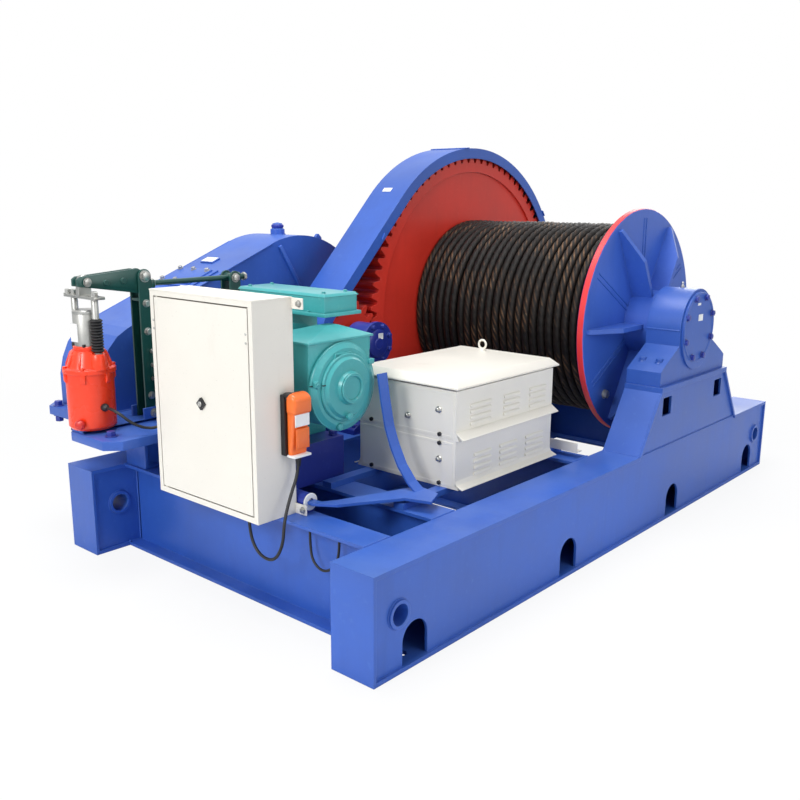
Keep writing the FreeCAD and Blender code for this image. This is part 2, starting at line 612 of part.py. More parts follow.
def guard_strip(outer, inner, left, width):
    """sheet that follows the gear, runs down in a straight line and wraps under the pinion;
    outer and inner are its two depths below the outside of the guard"""
    teeth = SIZE["tooth_module"]
    big = teeth * (SIZE["gear_teeth"] / 2 + 1) + SIZE["guard_gap"] + SIZE["guard_plate"]
    small = teeth * (SIZE["pinion_teeth"] / 2 + 1) + SIZE["guard_gap"] + SIZE["guard_plate"]
    drum_at = Vector(0, SIZE["drum_middle"], SIZE["drum_height"])
    pinion_at = Vector(0, value(PINION_Y), SIZE["shaft_height"])
    tangent = mesh_angle() % (2 * math.pi) - math.acos((big - small) / (pinion_at - drum_at).Length)
    rear, under = math.radians(-30), math.radians(300)

    def at(centre, radius, angle):
        return centre + Vector(0, radius * math.cos(angle), radius * math.sin(angle))

    def arc(centre, radius, first, last):
        return Part.Arc(at(centre, radius, first), at(centre, radius, (first + last) / 2),
                        at(centre, radius, last)).toShape()

    def line(start, end):
        return Part.LineSegment(start, end).toShape()

    a, b = big - outer, small - outer
    c, d = big - inner, small - inner
    edges = [arc(drum_at, a, rear, tangent), line(at(drum_at, a, tangent), at(pinion_at, b, tangent)),
             arc(pinion_at, b, tangent, under), line(at(pinion_at, b, under), at(pinion_at, d, under)),
             arc(pinion_at, d, under, tangent), line(at(pinion_at, d, tangent), at(drum_at, c, tangent)),
             arc(drum_at, c, tangent, rear), line(at(drum_at, c, rear), at(drum_at, a, rear))]
    strip = Part.Face(Part.Wire(edges)).extrude(Vector(width, 0, 0))
    strip.translate(Vector(left, 0, 0))
    return strip


def guard():
    """U-shaped sheet guard over the teeth, on four legs"""
    left, right = value(GUARD_LEFT), value(GUARD_RIGHT)
    plate, lip = SIZE["guard_plate"], SIZE["guard_plate"] + SIZE["guard_lip"]
    pieces = [made("guard_band", guard_strip(0, plate, left, right - left)),
              made("guard_left_lip", guard_strip(0, lip, left, plate)),
              made("guard_right_lip", guard_strip(0, lip, right - plate, plate))]
    node("gear_guard", fused("guard", pieces))
    feet = []
    front = [("third_cross - 60", FRAME_TOP), ("third_cross", FRAME_TOP), ("third_cross - 105", "frame_height + 268"),
             ("third_cross - 165", "frame_height + 268")]
    rear = [("rear_cross - 62", FRAME_TOP), ("rear_cross - 2", FRAME_TOP), ("rear_cross - 2", "frame_height + 200"),
            ("rear_cross - 62", "frame_height + 200")]
    for place, corners in (("front", front), ("rear", rear)):
        feet.append(slab("guard_leg_%s_left" % place, "yz", corners, (GUARD_LEFT + " - 8", GUARD_LEFT)))
        feet.append(slab("guard_leg_%s_right" % place, "yz", corners, (GUARD_RIGHT, GUARD_RIGHT + " + 8")))
    node("guard_legs", group("legs", feet))


# ---------------------------------------------------------------- gearbox

def gearbox():
    """welded housing: round over the output gear, sloping down to the input side"""
    span = (GEARBOX_LEFT, "gearbox_face")
    y, z = PINION_AT
    top_y = "(%s - gearbox_hump * sin(gearbox_slope))" % y
    top_z = "(%s + gearbox_hump * cos(gearbox_slope))" % z
    end_z = "(%s - (%s - gearbox_shoulder) * tan(gearbox_slope))" % (top_z, top_y)
    front, shoulder = "gearbox_front", "gearbox_shoulder"
    seam = "gearbox_flange_top"
    corners = [(y, seam), (y, z), (top_y, top_z), (shoulder, end_z), (shoulder + " - 55", end_z + " - 32"),
               (shoulder + " - 105", end_z + " - 85"), (shoulder + " - 137", end_z + " - 155"),
               (front, end_z + " - 230"), (front, seam)]
    hump = DOC.addObject("Part::MultiCommon", "gearbox_hump_upper")
    hump.Shapes = [rod("gearbox_hump_round", "x", "gearbox_hump", span, PINION_AT),
                   box("gearbox_hump_limit", (span[0] + " - 1", span[1] + " + 1"),
                       (y + " - gearbox_hump - 1", y + " + gearbox_hump + 1"), (seam, z + " + gearbox_hump + 1"))]
    rim = "gearbox_flange_rim"
    wide = (GEARBOX_LEFT + " - " + rim, "gearbox_face + " + rim)
    long = (front + " - " + rim, y + " + gearbox_hump - 35")
    chamfer = 60
    flange = slab("gearbox_rim", "xy", [
        (wide[0] + " + %d" % chamfer, long[0]), (wide[1] + " - %d" % chamfer, long[0]),
        (wide[1], long[0] + " + %d" % chamfer), (wide[1], long[1]), (wide[0], long[1]),
        (wide[0], long[0] + " + %d" % chamfer)], (seam + " - gearbox_flange", seam))
    breather = turned_up("breather", [
        ("0", z + " + gearbox_hump - 12"), ("38", z + " + gearbox_hump - 12"), ("38", z + " + gearbox_hump + 28"),
        ("26", z + " + gearbox_hump + 34"), ("26", z + " + gearbox_hump + 58"), ("0", z + " + gearbox_hump + 64")],
        ("gearbox_face - gearbox_width / 2", y))
    node("gearbox_housing", fused("gearbox", [slab("gearbox_body", "yz", corners, span), hump, flange, breather]))
    low = "(%s - gearbox_flange)" % seam
    belly = slab("gearbox_belly", "yz", [
        (front + " + 10", low), (y + " + 440", low), (y + " + 440", "frame_height + 60"),
        (y + " + 380", FRAME_TOP), (front + " + 330", FRAME_TOP), (front + " + 120", "frame_height + 45"),
        (front + " + 40", "frame_height + 90")], (span[0] + " + 15", span[1] + " - 15"))
    node("gearbox_base", belly)


# ---------------------------------------------------------------- brake

def brake():
    """drum brake between gearbox and motor, released by a thruster through a lever"""
    x, y, z = "brake_middle", "motor_middle", "shaft_height"
    wheel = "brake_wheel_radius"
    half = "(brake_wheel_width / 2)"
    node("brake_wheel", turned("wheel", [
        ("gearbox_face", "0"), ("gearbox_face", "35"), (x + " - 20", "35"), (x + " - 20", wheel + " - 25"),
        (x + " - " + half, wheel + " - 25"), (x + " - " + half, wheel), (x + " + " + half, wheel),
        (x + " + " + half, wheel + " - 25"), (x + " + 20", wheel + " - 25"), (x + " + 20", "120"),
        (x + " + 190", "120"), (x + " + 190", "70"), (x + " + 225", "70"), (x + " + 225", "35"),
        ("motor_rear", "35"), ("motor_rear", "0")], (y, z)))
    base = "brake_base_height"
    long = ("thruster_middle - 75", y + " + brake_arm_gap + 45")
    node("brake_stand", box("stand", (x + " - 75", x + " + 75"), ("front_cross - 60", y + " + brake_arm_gap - 30"),
                            (FRAME_TOP, base)))
    wall = 12
    channel = fused("brake_channel", [
        box("brake_floor", (x + " - 60", x + " + 60"), long, (base, base + " + %d" % wall)),
        box("brake_left_wall", (x + " - 60", x + " - 48"), long, (base, base + " + 90")),
        box("brake_right_wall", (x + " + 48", x + " + 60"), long, (base, base + " + 90"))])
    arm_half = "(brake_arm_width / 2)"
    deep = "(brake_arm_depth / 2)"
    pin_z = base + " + 55"
    sides = (("front", "-"), ("rear", "+"))
    pins = [rod("brake_foot_pin_%s" % side, "x", "12", (x + " - 54", x + " + 54"),
                ("%s %s brake_arm_gap" % (y, sign), pin_z)) for side, sign in sides]
    node("brake_base", fused("base", [channel] + pins))
    lever_pin_z = "(brake_arm_top - 35)"
    for side, sign in sides:
        middle = "(%s %s brake_arm_gap)" % (y, sign)
        name = "brake_arm_%s" % side
        pieces = [box(name + "_bar", (x + " - " + arm_half, x + " + " + arm_half),
                      (middle + " - " + deep, middle + " + " + deep), (base + " + 20", "brake_arm_top"))]
        shoe = cut(name + "_shoe_ring", rod(name + "_shoe_outer", "x", wheel + " + 34", (x + " - 65", x + " + 65"), (y, z)),
                   [rod(name + "_shoe_inner", "x", wheel + " + 0.5", (x + " - 66", x + " + 66"), (y, z))])
        near = ("%s - brake_arm_gap - 5" % y, "%s - 150" % y) if sign == "-" else (
            "%s + 150" % y, "%s + brake_arm_gap + 5" % y)
        sector = DOC.addObject("Part::MultiCommon", name + "_shoe")
        sector.Shapes = [shoe, box(name + "_shoe_limit", (x + " - 70", x + " + 70"), near, (z + " - 118", z + " + 118"))]
        pieces.append(sector)
        tools = [rod(name + "_foot_bore", "x", "12.4", (x + " - 40", x + " + 40"), (middle, pin_z))]
        if side == "front":
            pieces.append(rod("lever_pin", "x", "12", (x + " - 48", x + " + 48"), (middle, lever_pin_z)))
        else:
            tools.append(rod("tie_bore", "y", "12.4", (middle + " - 40", middle + " + 40"),
                             (x, "brake_arm_top - 70")))
        node(name, cut(name + "_drilled", fused(name + "_welded", pieces), tools))
    front = "(%s - brake_arm_gap)" % y
    rear = "(%s + brake_arm_gap)" % y
    rod_z = "brake_arm_top - 70"
    tie = rod("tie_bar", "y", "12", (front + " + " + deep, rear + " + " + deep + " + 45"), (x, rod_z))
    nut = rod("tie_nut", "y", "22", (rear + " + " + deep, rear + " + " + deep + " + 22"), (x, rod_z))
    node("brake_tie_rod", fused("tie", [tie, nut]))
    far = "thruster_middle"
    eye_z = "(brake_arm_top - 45)"
    plates = []
    for side, sign in (("left", "-"), ("right", "+")):
        span = (x + " - 46", x + " - 36") if sign == "-" else (x + " + 36", x + " + 46")
        plates.append(slab("lever_plate_%s" % side, "yz", [
            (far + " - 28", eye_z + " - 22"), (far + " + 20", eye_z + " - 30"), (front + " + 20", lever_pin_z + " - 34"),
            (front + " + 34", lever_pin_z), (front + " + 20", lever_pin_z + " + 40"),
            (front + " - 60", lever_pin_z + " + 48"), (far + " - 28", eye_z + " + 22")], span))
    eye_pin = rod("lever_eye_pin", "x", "12", (x + " - 46", x + " + 46"), (far, eye_z))
    node("brake_lever", cut("lever", fused("lever_plates", plates + [eye_pin]),
                            [rod("lever_bore", "x", "12.1", (x + " - 49", x + " + 49"), (front, lever_pin_z))]))
    body_top = base + " + 385"
    at = (x, far)
    radius = "thruster_radius"
    node("thruster_body", turned_up("thruster", [
        ("0", base + " + 90"), (radius + " - 12", base + " + 90"), (radius, base + " + 110"),
        (radius, body_top + " - 130"), (radius + " + 6", body_top + " - 130"), (radius + " + 6", body_top + " - 105"),
        (radius, body_top + " - 105"), (radius, body_top + " - 20"), (radius + " - 20", body_top),
        ("0", body_top)], at))
    node("thruster_cylinder", cut("cylinder", rod("cylinder_outside", "z", "58", (body_top, base + " + 580"), at),
                                  [rod("cylinder_bore", "z", "22.3", (body_top + " + 60", base + " + 581"), at)]))
    push = fused("push_rod", [
        rod("push_bar", "z", "22", (body_top + " + 100", eye_z + " - 45"), at),
        rod("push_plate", "z", "50", (base + " + 592", base + " + 604"), at),
        box("push_eye", (x + " - 30", x + " + 30"), (far + " - 30", far + " + 30"), (eye_z + " - 46", eye_z + " + 32"))])
    node("thruster_rod", cut("push", push, [rod("push_bore", "x", "12 + lever_play", (x + " - 31", x + " + 31"),
                                                (far, eye_z))]))


# ---------------------------------------------------------------- motor

def motor():
    y, z = "motor_middle", "shaft_height"
    r = "motor_radius"
    stator = turned("stator", [
        ("motor_rear", "0"), ("motor_rear", r + " - 60"), ("motor_rear + 30", r + " - 12"),
        ("motor_rear + 60", r + " - 12"), ("motor_rear + 60", r), ("motor_nose - 40", r),
        ("motor_nose - 40", r + " - 12"), ("motor_nose", r + " - 12"), ("motor_nose", "0")], (y, z))
    feet = box("motor_feet", ("motor_rear + 70", "motor_nose - 50"), (y + " - 215", y + " + 215"),
               ("motor_foot_height", "motor_foot_height + 90"))
    node("motor_body", fused("motor_casting", [stator, feet]))
    node("motor_stand", box("motor_pedestal", ("motor_rear + 40", "motor_nose + 60"), (y + " - 225", y + " + 215"),
                            (FRAME_TOP, "motor_foot_height")))
    node("motor_terminal_box", cut("terminal_box", fused("terminals", [
        box("terminal_body", ("motor_rear + 90", "motor_nose - 50"), (y + " - 95", y + " + 95"),
            (z + " + motor_radius - 60", z + " + motor_radius + 55")),
        box("terminal_lid", ("motor_rear + 80", "motor_nose - 40"), (y + " - 105", y + " + 105"),
            (z + " + motor_radius + 55", z + " + motor_radius + 75"))]),
        [rod("terminal_saddle", "x", r + " + seat_gap", ("motor_rear", "motor_nose"), (y, z))]))
    half = "(slip_ring_width / 2)"
    top = "slip_ring_top"
    span = ("motor_nose", "slip_ring_nose")
    shell = [rod("slip_ring_round", "x", half, span, (y, z)),
             box("slip_ring_upper", span, ("%s - %s" % (y, half), "%s + %s" % (y, half)), (z, top + " - 38"))]
    lid = DOC.addObject("Part::Wedge", "slip_ring_lid")
    bind(lid, Xmin="0", Xmax="slip_ring_nose - motor_nose + 12", X2min="(slip_ring_nose - motor_nose) * 0.42",
         X2max="(slip_ring_nose - motor_nose) * 0.58", Ymin="0", Ymax="34", Zmin="0", Zmax="slip_ring_width + 16",
         Z2min="slip_ring_width * 0.42", Z2max="slip_ring_width * 0.58")
    lid.Placement = Placement(Vector(), Rotation(Vector(1, 0, 0), 90))
    bind(lid, Placement__Base__x="motor_nose", Placement__Base__y="%s + %s + 8" % (y, half),
         Placement__Base__z=top + " - 30")
    rim = box("slip_ring_rim", ("motor_nose", "slip_ring_nose + 12"),
              ("%s - %s - 8" % (y, half), "%s + %s + 8" % (y, half)), (top + " - 38", top + " - 30"))
    node("slip_ring_housing", fused("slip_rings", shell + [lid, rim]))
    c, d = "end_cover_radius", "end_cover_depth"
    nose = "slip_ring_nose"
    node("motor_end_cover", turned("end_cover", [
        (nose, "0"), (nose, c), (nose + " + 14", c), ("%s + %s - 8" % (nose, d), c + " - 40"),
        ("%s + %s - 14" % (nose, d), c + " - 52"), ("%s + %s - 14" % (nose, d), c + " - 66"),
        ("%s + %s" % (nose, d), c + " - 76"), ("%s + %s + 6" % (nose, d), c + " - 92"),
        ("%s + %s + 6" % (nose, d), "0")], (y, z)))


# ---------------------------------------------------------------- control cabinet

def cabinet():
    half = "cabinet_width / 2"
    wide = ("-cabinet_width / 2", "cabinet_width / 2")
    deep = ("cabinet_front", CABINET_BACK)
    low, high = FRAME_TOP, "(frame_height + cabinet_tall)"
    wall, border = "cabinet_wall", "cabinet_border"
    hollow = box("cabinet_inside", (wide[0] + " + " + wall, wide[1] + " - " + wall),
                 (deep[0] + " + " + wall, deep[1] + " - " + wall), (low + " + " + wall, high + " - " + wall))
    doorway = box("cabinet_doorway", (wide[0] + " + " + border, wide[1] + " - " + border),
                  (deep[0] + " - 1", deep[0] + " + 2 * " + wall), (low + " + " + border, high + " - " + border))
    case = cut("cabinet_case", box("cabinet_block", wide, deep, (low, high)), [hollow, doorway])
    edge = "(-cabinet_width / 2 + cabinet_border + door_gap)"
    hinge_x = "(-cabinet_width / 2 + cabinet_border + door_gap + 13)"
    hinge_y = "(cabinet_front + 6)"
    door_low = "(%s + %s + door_gap)" % (low, border)
    door_high = "(%s - %s - door_gap)" % (high, border)
    lugs, holes = [], []
    for end, first, last in (("bottom", low + " + 2", low + " + " + border), ("top", high + " - " + border, high + " - 2")):
        lugs.append(box("hinge_lug_%s" % end, ("%s - 16" % hinge_x, "%s + 14" % hinge_x),
                        (deep[0], deep[0] + " + 22"), (first, last)))
    holes.append(rod("hinge_bore", "z", "door_pin + shaft_play", (low + " + 5", high + " - 5"), (hinge_x, hinge_y)))
    for side, sign in (("left", "-"), ("right", "+")):
        for end, first in (("low", low), ("high", high + " - 40")):
            near = "%scabinet_width / 2" % ("-" if sign == "-" else "")
            span = (near + " - 26", near + " + 10") if sign == "-" else (near + " - 10", near + " + 26")
            lugs.append(box("cabinet_ear_%s_%s" % (side, end), span, (CABINET_BACK + " - 4", CABINET_BACK),
                            (first, first + " + 40")))
    node("cabinet_shell", cut("cabinet", fused("cabinet_welded", [case] + lugs), holes))
    far_edge = "(%s - %s - door_gap)" % (half, border)
    door = cut("door_tray", box("door_plate_block", (edge, far_edge), (deep[0], deep[0] + " + door_plate"),
                                (door_low, door_high)),
               [box("door_recess", (edge + " + 26", far_edge + " - 12"), (deep[0] + " + 3", deep[0] + " + 30"),
                    (door_low + " + 12", door_high + " - 12"))])
    pins = rod("door_hinge_pins", "z", "door_pin", (low + " + 8", high + " - 8"), (hinge_x, hinge_y))
    node("cabinet_door", fused("door", [door, pins]))
    lock = slab("lock", "xz", [("-24", low + " + cabinet_tall / 2"), ("0", low + " + cabinet_tall / 2 - 24"),
                               ("24", low + " + cabinet_tall / 2"), ("0", low + " + cabinet_tall / 2 + 24")],
                (deep[0] + " - 10", deep[0]))
    node("door_lock", lock)
    side = "cabinet_width / 2"
    mid = "(cabinet_front + 165)"
    node("pendant_holder", box("holder", (side, side + " + 22"), (mid + " - 48", mid + " + 48"),
                               (low + " + 240", low + " + 465")))
    pendant = slab("pendant_case", "xz", [
        (side + " + 22", low + " + 235"), (side + " + 62", low + " + 235"), (side + " + 66", low + " + 410"),
        (side + " + 78", low + " + 425"), (side + " + 74", low + " + 450"), (side + " + 50", low + " + 472"),
        (side + " + 22", low + " + 462")], (mid + " - 44", mid + " + 44"))
    node("pendant", pendant)


# ---------------------------------------------------------------- resistors

def resistors():
    """two stacked sheet boxes with flared skirts, a lid with a folded rim and a lifting eye"""
    wide = ("resistor_left", "resistor_right")
    long = ("resistor_front", "resistor_rear")
    base = "(frame_height + resistor_rail)"
    middle = "(frame_height + resistor_rail + resistor_tall)"
    top = "(frame_height + resistor_rail + 2 * resistor_tall)"
    for name, low in (("lower", base), ("upper", middle)):
        body = box(name + "_case", wide, long, (low, low + " + resistor_tall"))
        flare = 16
        skirt = slab(name + "_skirt", "xz", [
            (wide[0] + " - %d" % flare, low), (wide[1] + " + %d" % flare, low), (wide[1], low + " + 34"),
            (wide[0], low + " + 34")], (long[0], long[1]))
        node("resistor_box_" + name, fused(name + "_box", [body, skirt]))
    rim = "resistor_lid_rim"
    lid = fused("lid_sheet", [
        box("lid_plate", ("%s - %s" % (wide[0], rim), "%s + %s" % (wide[1], rim)),
            ("%s - %s" % (long[0], rim), "%s + %s" % (long[1], rim)), (top + " + 4", top + " + 10")),
        box("lid_rim", ("%s - %s" % (wide[0], rim), "%s + %s" % (wide[1], rim)),
            ("%s - %s" % (long[0], rim), "%s + %s" % (long[1], rim)), (top + " - 22", top + " + 6"))])
    under = box("lid_hollow", ("%s - %s + 3" % (wide[0], rim), "%s + %s - 3" % (wide[1], rim)),
                ("%s - %s + 3" % (long[0], rim), "%s + %s - 3" % (long[1], rim)), (top + " - 23", top))
    lid_sheet = cut("lid", lid, [under])
    eye = made("eye_ring", Part.makeTorus(22, 6))
    eye.Placement = Placement(Vector(), Rotation(Vector(1, 0, 0), 90))
    bind(eye, Placement__Base__x="resistor_left + 40", Placement__Base__y="resistor_rear - 60",
         Placement__Base__z=top + " + 10 + 34")
    stem = rod("eye_stem", "z", "9", (top + " + 8", top + " + 24"), ("resistor_left + 40", "resistor_rear - 60"))
    node("resistor_lid", fused("lid_with_eye", [lid_sheet, eye, stem]))
    rails = []
    for side, first in (("left", "resistor_left + 40"), ("right", "resistor_right - 90")):
        rails.append(box("resistor_rail_" + side, (first, first + " + 50"),
                         ("second_cross - cross_width / 2", "third_cross + cross_width / 2"), (FRAME_TOP, base)))
    node("resistor_rails", group("rails", rails))
    node("cross_angle", fused("angle", [
        box("angle_flat", ("resistor_left + 40", "%s - 20" % BEAM_IN), ("third_cross - 4", "third_cross + 40"),
            (base, base + " + 5")),
        box("angle_upright", ("resistor_left + 40", "%s - 20" % BEAM_IN), ("third_cross - 4", "third_cross + 1"),
            (base, base + " + 45"))]))


# ---------------------------------------------------------------- pedal and cables

def pedal():
    """a rocking tube on the front cross beam, its flat bar with a tread and the bent strap"""
    z = "(frame_height + 36)"
    pivot_y = "(%s + 37)" % CABINET_BACK
    tread = [(340.3, -1400), (340.3, -1436), (372, -1436), (452, -1385), (590, -1160), (692, -1126), (648, -1034), (536, -1012),
             (506, -1090), (415, -1345), (385, -1400)]
    plate = slab("tread", "xy", [(str(x), str(y)) for x, y in tread], (z, z + " + 12"))
    node("pedal_tube", cut("pedal_pivot", fused("pedal_pivot_block", [
        rod("pedal_tube_round", "x", "32", ("225", "340"), (pivot_y, z + " + 6")),
        box("pedal_saddle", ("235", "340"), (pivot_y + " - 28", pivot_y + " + 18"), (FRAME_TOP, z + " - 10"))]),
        [rod("pedal_tube_bore", "x", "14", ("224", "341"), (pivot_y, z + " + 6"))]))
    line = [(378, 872), (396, 767), (418, 665), (447, 590), (485, 520), (535, 462), (575, 433)]
    thick = 9
    inner = []
    for i, (x, up) in enumerate(line):
        before, after = line[max(i - 1, 0)], line[min(i + 1, len(line) - 1)]
        along = Vector(after[0] - before[0], after[1] - before[1], 0).normalize()
        inner.append((x + along.y * thick, up - along.x * thick))
    corners = line + list(reversed(inner))
    strap = slab("strap", "xz", [("%.1f" % x, "%.1f" % up) for x, up in corners], ("-1080", "-1030"))
    node("pedal", fused("pedal_welded", [plate, strap]))


def tube(name, radius, route):
    """a cable of straight runs joined by tangent arcs, each arc as large as its runs allow"""
    points = [Vector(*point) for point in route]
    edges = []
    start = points[0]
    for i in range(1, len(points) - 1):
        back = points[i - 1] - points[i]
        ahead = points[i + 1] - points[i]
        turn = math.pi - back.getAngle(ahead)
        reach = 0.45 * min(back.Length, ahead.Length)
        bend = reach / math.tan(turn / 2)
        back.normalize()
        ahead.normalize()
        first = points[i] + back * reach
        last = points[i] + ahead * reach
        halfway = (back + ahead).normalize()
        centre = points[i] + halfway * math.hypot(bend, reach)
        crown = centre - halfway * bend
        edges.append(Part.LineSegment(start, first).toShape())
        edges.append(Part.Arc(first, crown, last).toShape())
        start = last
        print("%s bend %d: radius %.0f mm, %.1f diameters" % (name, i, bend, bend / radius / 2))
    edges.append(Part.LineSegment(start, points[-1]).toShape())
    path = Part.Wire(edges)
    profile = Part.Wire(Part.makeCircle(radius, points[0], points[1] - points[0]))
    solid = path.makePipeShell([profile], True, False)
    ratio = solid.Volume / (math.pi * radius ** 2 * path.Length)
    print("%s volume over section times length %.4f" % (name, ratio))
    return made(name, solid)


def cables():
    node("pendant_cable", tube("pendant_cord", 6, [
        (343, -1475, 620), (343, -1475, 560), (352, -1525, 480), (368, -1572, 400), (378, -1590, 310),
        (330, -1594, 235), (240, -1592, 240), (190, -1590, 310), (190, -1590, 385)]))
    node("slip_ring_cable", tube("slip_ring_cord", 5, [
        (430, -1505, 371), (430, -1505, 310), (455, -1518, 250), (515, -1522, 225), (566, -1514, 255),
        (582, -1505, 310), (582, -1505, 371)]))
    node("thruster_cable", tube("thruster_cord", 6, [
        (-541.7, -1715, 700), (-482, -1715, 700), (-435, -1668, 640), (-408, -1600, 612), (-365, -1550, 640),
        (-305, -1550, 640)]))


def check_and_save():
    """every object sound, then one STEP file per node"""
    DOC.recompute()
    for thing in DOC.Objects:
        bad = [state for state in thing.State if state in ("Invalid", "Error")]
        if bad:
            raise ValueError("%s is %s" % (thing.Name, bad))
    for piece in NODES:
        if piece.Shape.isNull() or not piece.Shape.isValid() or not piece.Shape.Solids:
            raise ValueError("%s has no sound shape" % piece.Label)
    os.makedirs("parts", exist_ok=True)
    for piece in NODES:
        piece.Shape.exportStep("parts/%s.step" % piece.Label)
        bound = piece.Shape.BoundBox
        print("%-22s %2d solids %9.0f cm3  X %7.1f %7.1f  Y %8.1f %8.1f  Z %7.1f %7.1f" % (
            piece.Label, len(piece.Shape.Solids), piece.Shape.Volume / 1000, bound.XMin, bound.XMax,
            bound.YMin, bound.YMax, bound.ZMin, bound.ZMax))


side_beam()
lifting_tubes()
cross_beams()
outrigger()
pedestal()
drum_bearings()
drum()
pinion_line()
pinion_bearing()
guard()
gearbox()
brake()
motor()
cabinet()
resistors()
pedal()
cables()
check_and_save()
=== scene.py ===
import math
import random
import bpy
import bmesh
from mathutils import Matrix, Vector


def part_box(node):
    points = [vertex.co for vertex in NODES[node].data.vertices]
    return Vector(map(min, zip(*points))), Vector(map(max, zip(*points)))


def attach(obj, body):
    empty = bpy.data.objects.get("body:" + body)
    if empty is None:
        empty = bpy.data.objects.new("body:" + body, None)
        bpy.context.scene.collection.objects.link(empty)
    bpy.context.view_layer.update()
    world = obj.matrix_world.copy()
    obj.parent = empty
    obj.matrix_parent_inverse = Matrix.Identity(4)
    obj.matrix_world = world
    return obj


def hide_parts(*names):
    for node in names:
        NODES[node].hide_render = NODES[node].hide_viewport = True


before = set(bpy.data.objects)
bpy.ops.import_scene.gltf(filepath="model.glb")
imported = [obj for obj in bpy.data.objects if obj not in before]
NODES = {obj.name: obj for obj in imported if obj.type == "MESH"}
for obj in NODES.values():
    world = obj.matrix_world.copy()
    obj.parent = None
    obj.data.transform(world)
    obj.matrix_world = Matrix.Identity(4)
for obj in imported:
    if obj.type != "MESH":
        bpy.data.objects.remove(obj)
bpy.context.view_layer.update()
bpy.ops.object.select_all(action="DESELECT")

# ------------------------------------------------------------------ camera, light and floor

VIEW_FROM = Vector((2.704, -3.598, 1.538))
VIEW_AZIMUTH, VIEW_ELEVATION, VIEW_ROLL = math.radians(41.0), math.radians(12.9), math.radians(0.35)


def place_camera():
    data = bpy.data.cameras.new("viewpoint")
    data.sensor_width = 36
    data.lens = 40.21
    data.shift_x = -0.0059
    data.shift_y = 0.0050
    camera = bpy.data.objects.new("viewpoint", data)
    bpy.context.scene.collection.objects.link(camera)
    back = Vector((math.sin(VIEW_AZIMUTH) * math.cos(VIEW_ELEVATION),
                   -math.cos(VIEW_AZIMUTH) * math.cos(VIEW_ELEVATION), math.sin(VIEW_ELEVATION)))
    right = (-back).cross(Vector((0, 0, 1))).normalized()
    up = right.cross(-back)
    side = right * math.cos(VIEW_ROLL) + up * math.sin(VIEW_ROLL)
    top = up * math.cos(VIEW_ROLL) - right * math.sin(VIEW_ROLL)
    turn = Matrix((side, top, back)).transposed()
    camera.matrix_world = Matrix.Translation(VIEW_FROM) @ turn.to_4x4()
    bpy.context.scene.camera = camera


def area_light(name, place, target, size, watts):
    data = bpy.data.lights.new(name, "AREA")
    data.size = size
    data.energy = watts
    lamp = bpy.data.objects.new(name, data)
    lamp.location = place
    lamp.rotation_euler = (Vector(target) - Vector(place)).to_track_quat("-Z", "Y").to_euler()
    bpy.context.scene.collection.objects.link(lamp)


def shader_node(tree, kind, operation=None, **values):
    """a shader node with the values of its inputs"""
    made = tree.nodes.new(kind)
    if operation:
        made.operation = operation
    for name, value in values.items():
        made.inputs[name.replace("_", " ")].default_value = value
    return made


def shown_as(tree, share, lit, shown, output):
    """lit where share is 0 and shown where it is 1, into the tree's output"""
    mix = shader_node(tree, "ShaderNodeMixShader")
    out = shader_node(tree, output)
    tree.links.new(share, mix.inputs["Fac"])
    tree.links.new(lit.outputs[0], mix.inputs[1])
    tree.links.new(shown.outputs[0], mix.inputs[2])
    tree.links.new(mix.outputs[0], out.inputs["Surface"])


def white_sky():
    """a soft sky that shows as plain white to the camera, through glass and in gloss"""
    world = bpy.data.worlds.new("studio")
    bpy.context.scene.world = world
    world.use_nodes = True
    tree = world.node_tree
    tree.nodes.clear()
    path = shader_node(tree, "ShaderNodeLightPath")
    seen = path.outputs["Is Camera Ray"]
    for ray in ("Is Transmission Ray", "Is Glossy Ray"):
        either = shader_node(tree, "ShaderNodeMath", "MAXIMUM")
        tree.links.new(seen, either.inputs[0])
        tree.links.new(path.outputs[ray], either.inputs[1])
        seen = either.outputs[0]
    soft = shader_node(tree, "ShaderNodeBackground", Color=(0.86, 0.93, 1.0, 1), Strength=0.42)
    white = shader_node(tree, "ShaderNodeBackground", Color=(1, 1, 1, 1), Strength=1.0)
    shown_as(tree, seen, soft, white, "ShaderNodeOutputWorld")


def pale_floor():
    """a floor that keeps the shadow near the object and turns plain white with distance from it"""
    bpy.ops.mesh.primitive_plane_add(size=80, location=(0, 0, -0.002))
    floor = bpy.context.object
    floor.name = "floor"
    material = bpy.data.materials.new("pale_floor")
    material.use_nodes = True
    tree = material.node_tree
    tree.nodes.clear()
    path = shader_node(tree, "ShaderNodeLightPath")
    matt = shader_node(tree, "ShaderNodeBsdfDiffuse", Color=(0.86, 0.86, 0.86, 1))
    glow = shader_node(tree, "ShaderNodeEmission", Color=(1, 1, 1, 1))
    place = shader_node(tree, "ShaderNodeTexCoord")
    reach = shader_node(tree, "ShaderNodeVectorMath", "LENGTH")
    away = shader_node(tree, "ShaderNodeMapRange", From_Min=2.0, From_Max=5.0, To_Min=0.88, To_Max=1.0)
    share = shader_node(tree, "ShaderNodeMath", "MULTIPLY")
    tree.links.new(place.outputs["Object"], reach.inputs[0])
    tree.links.new(reach.outputs["Value"], away.inputs["Value"])
    tree.links.new(path.outputs["Is Camera Ray"], share.inputs[0])
    tree.links.new(away.outputs["Result"], share.inputs[1])
    shown_as(tree, share.outputs[0], matt, glow, "ShaderNodeOutputMaterial")
    floor.data.materials.append(material)


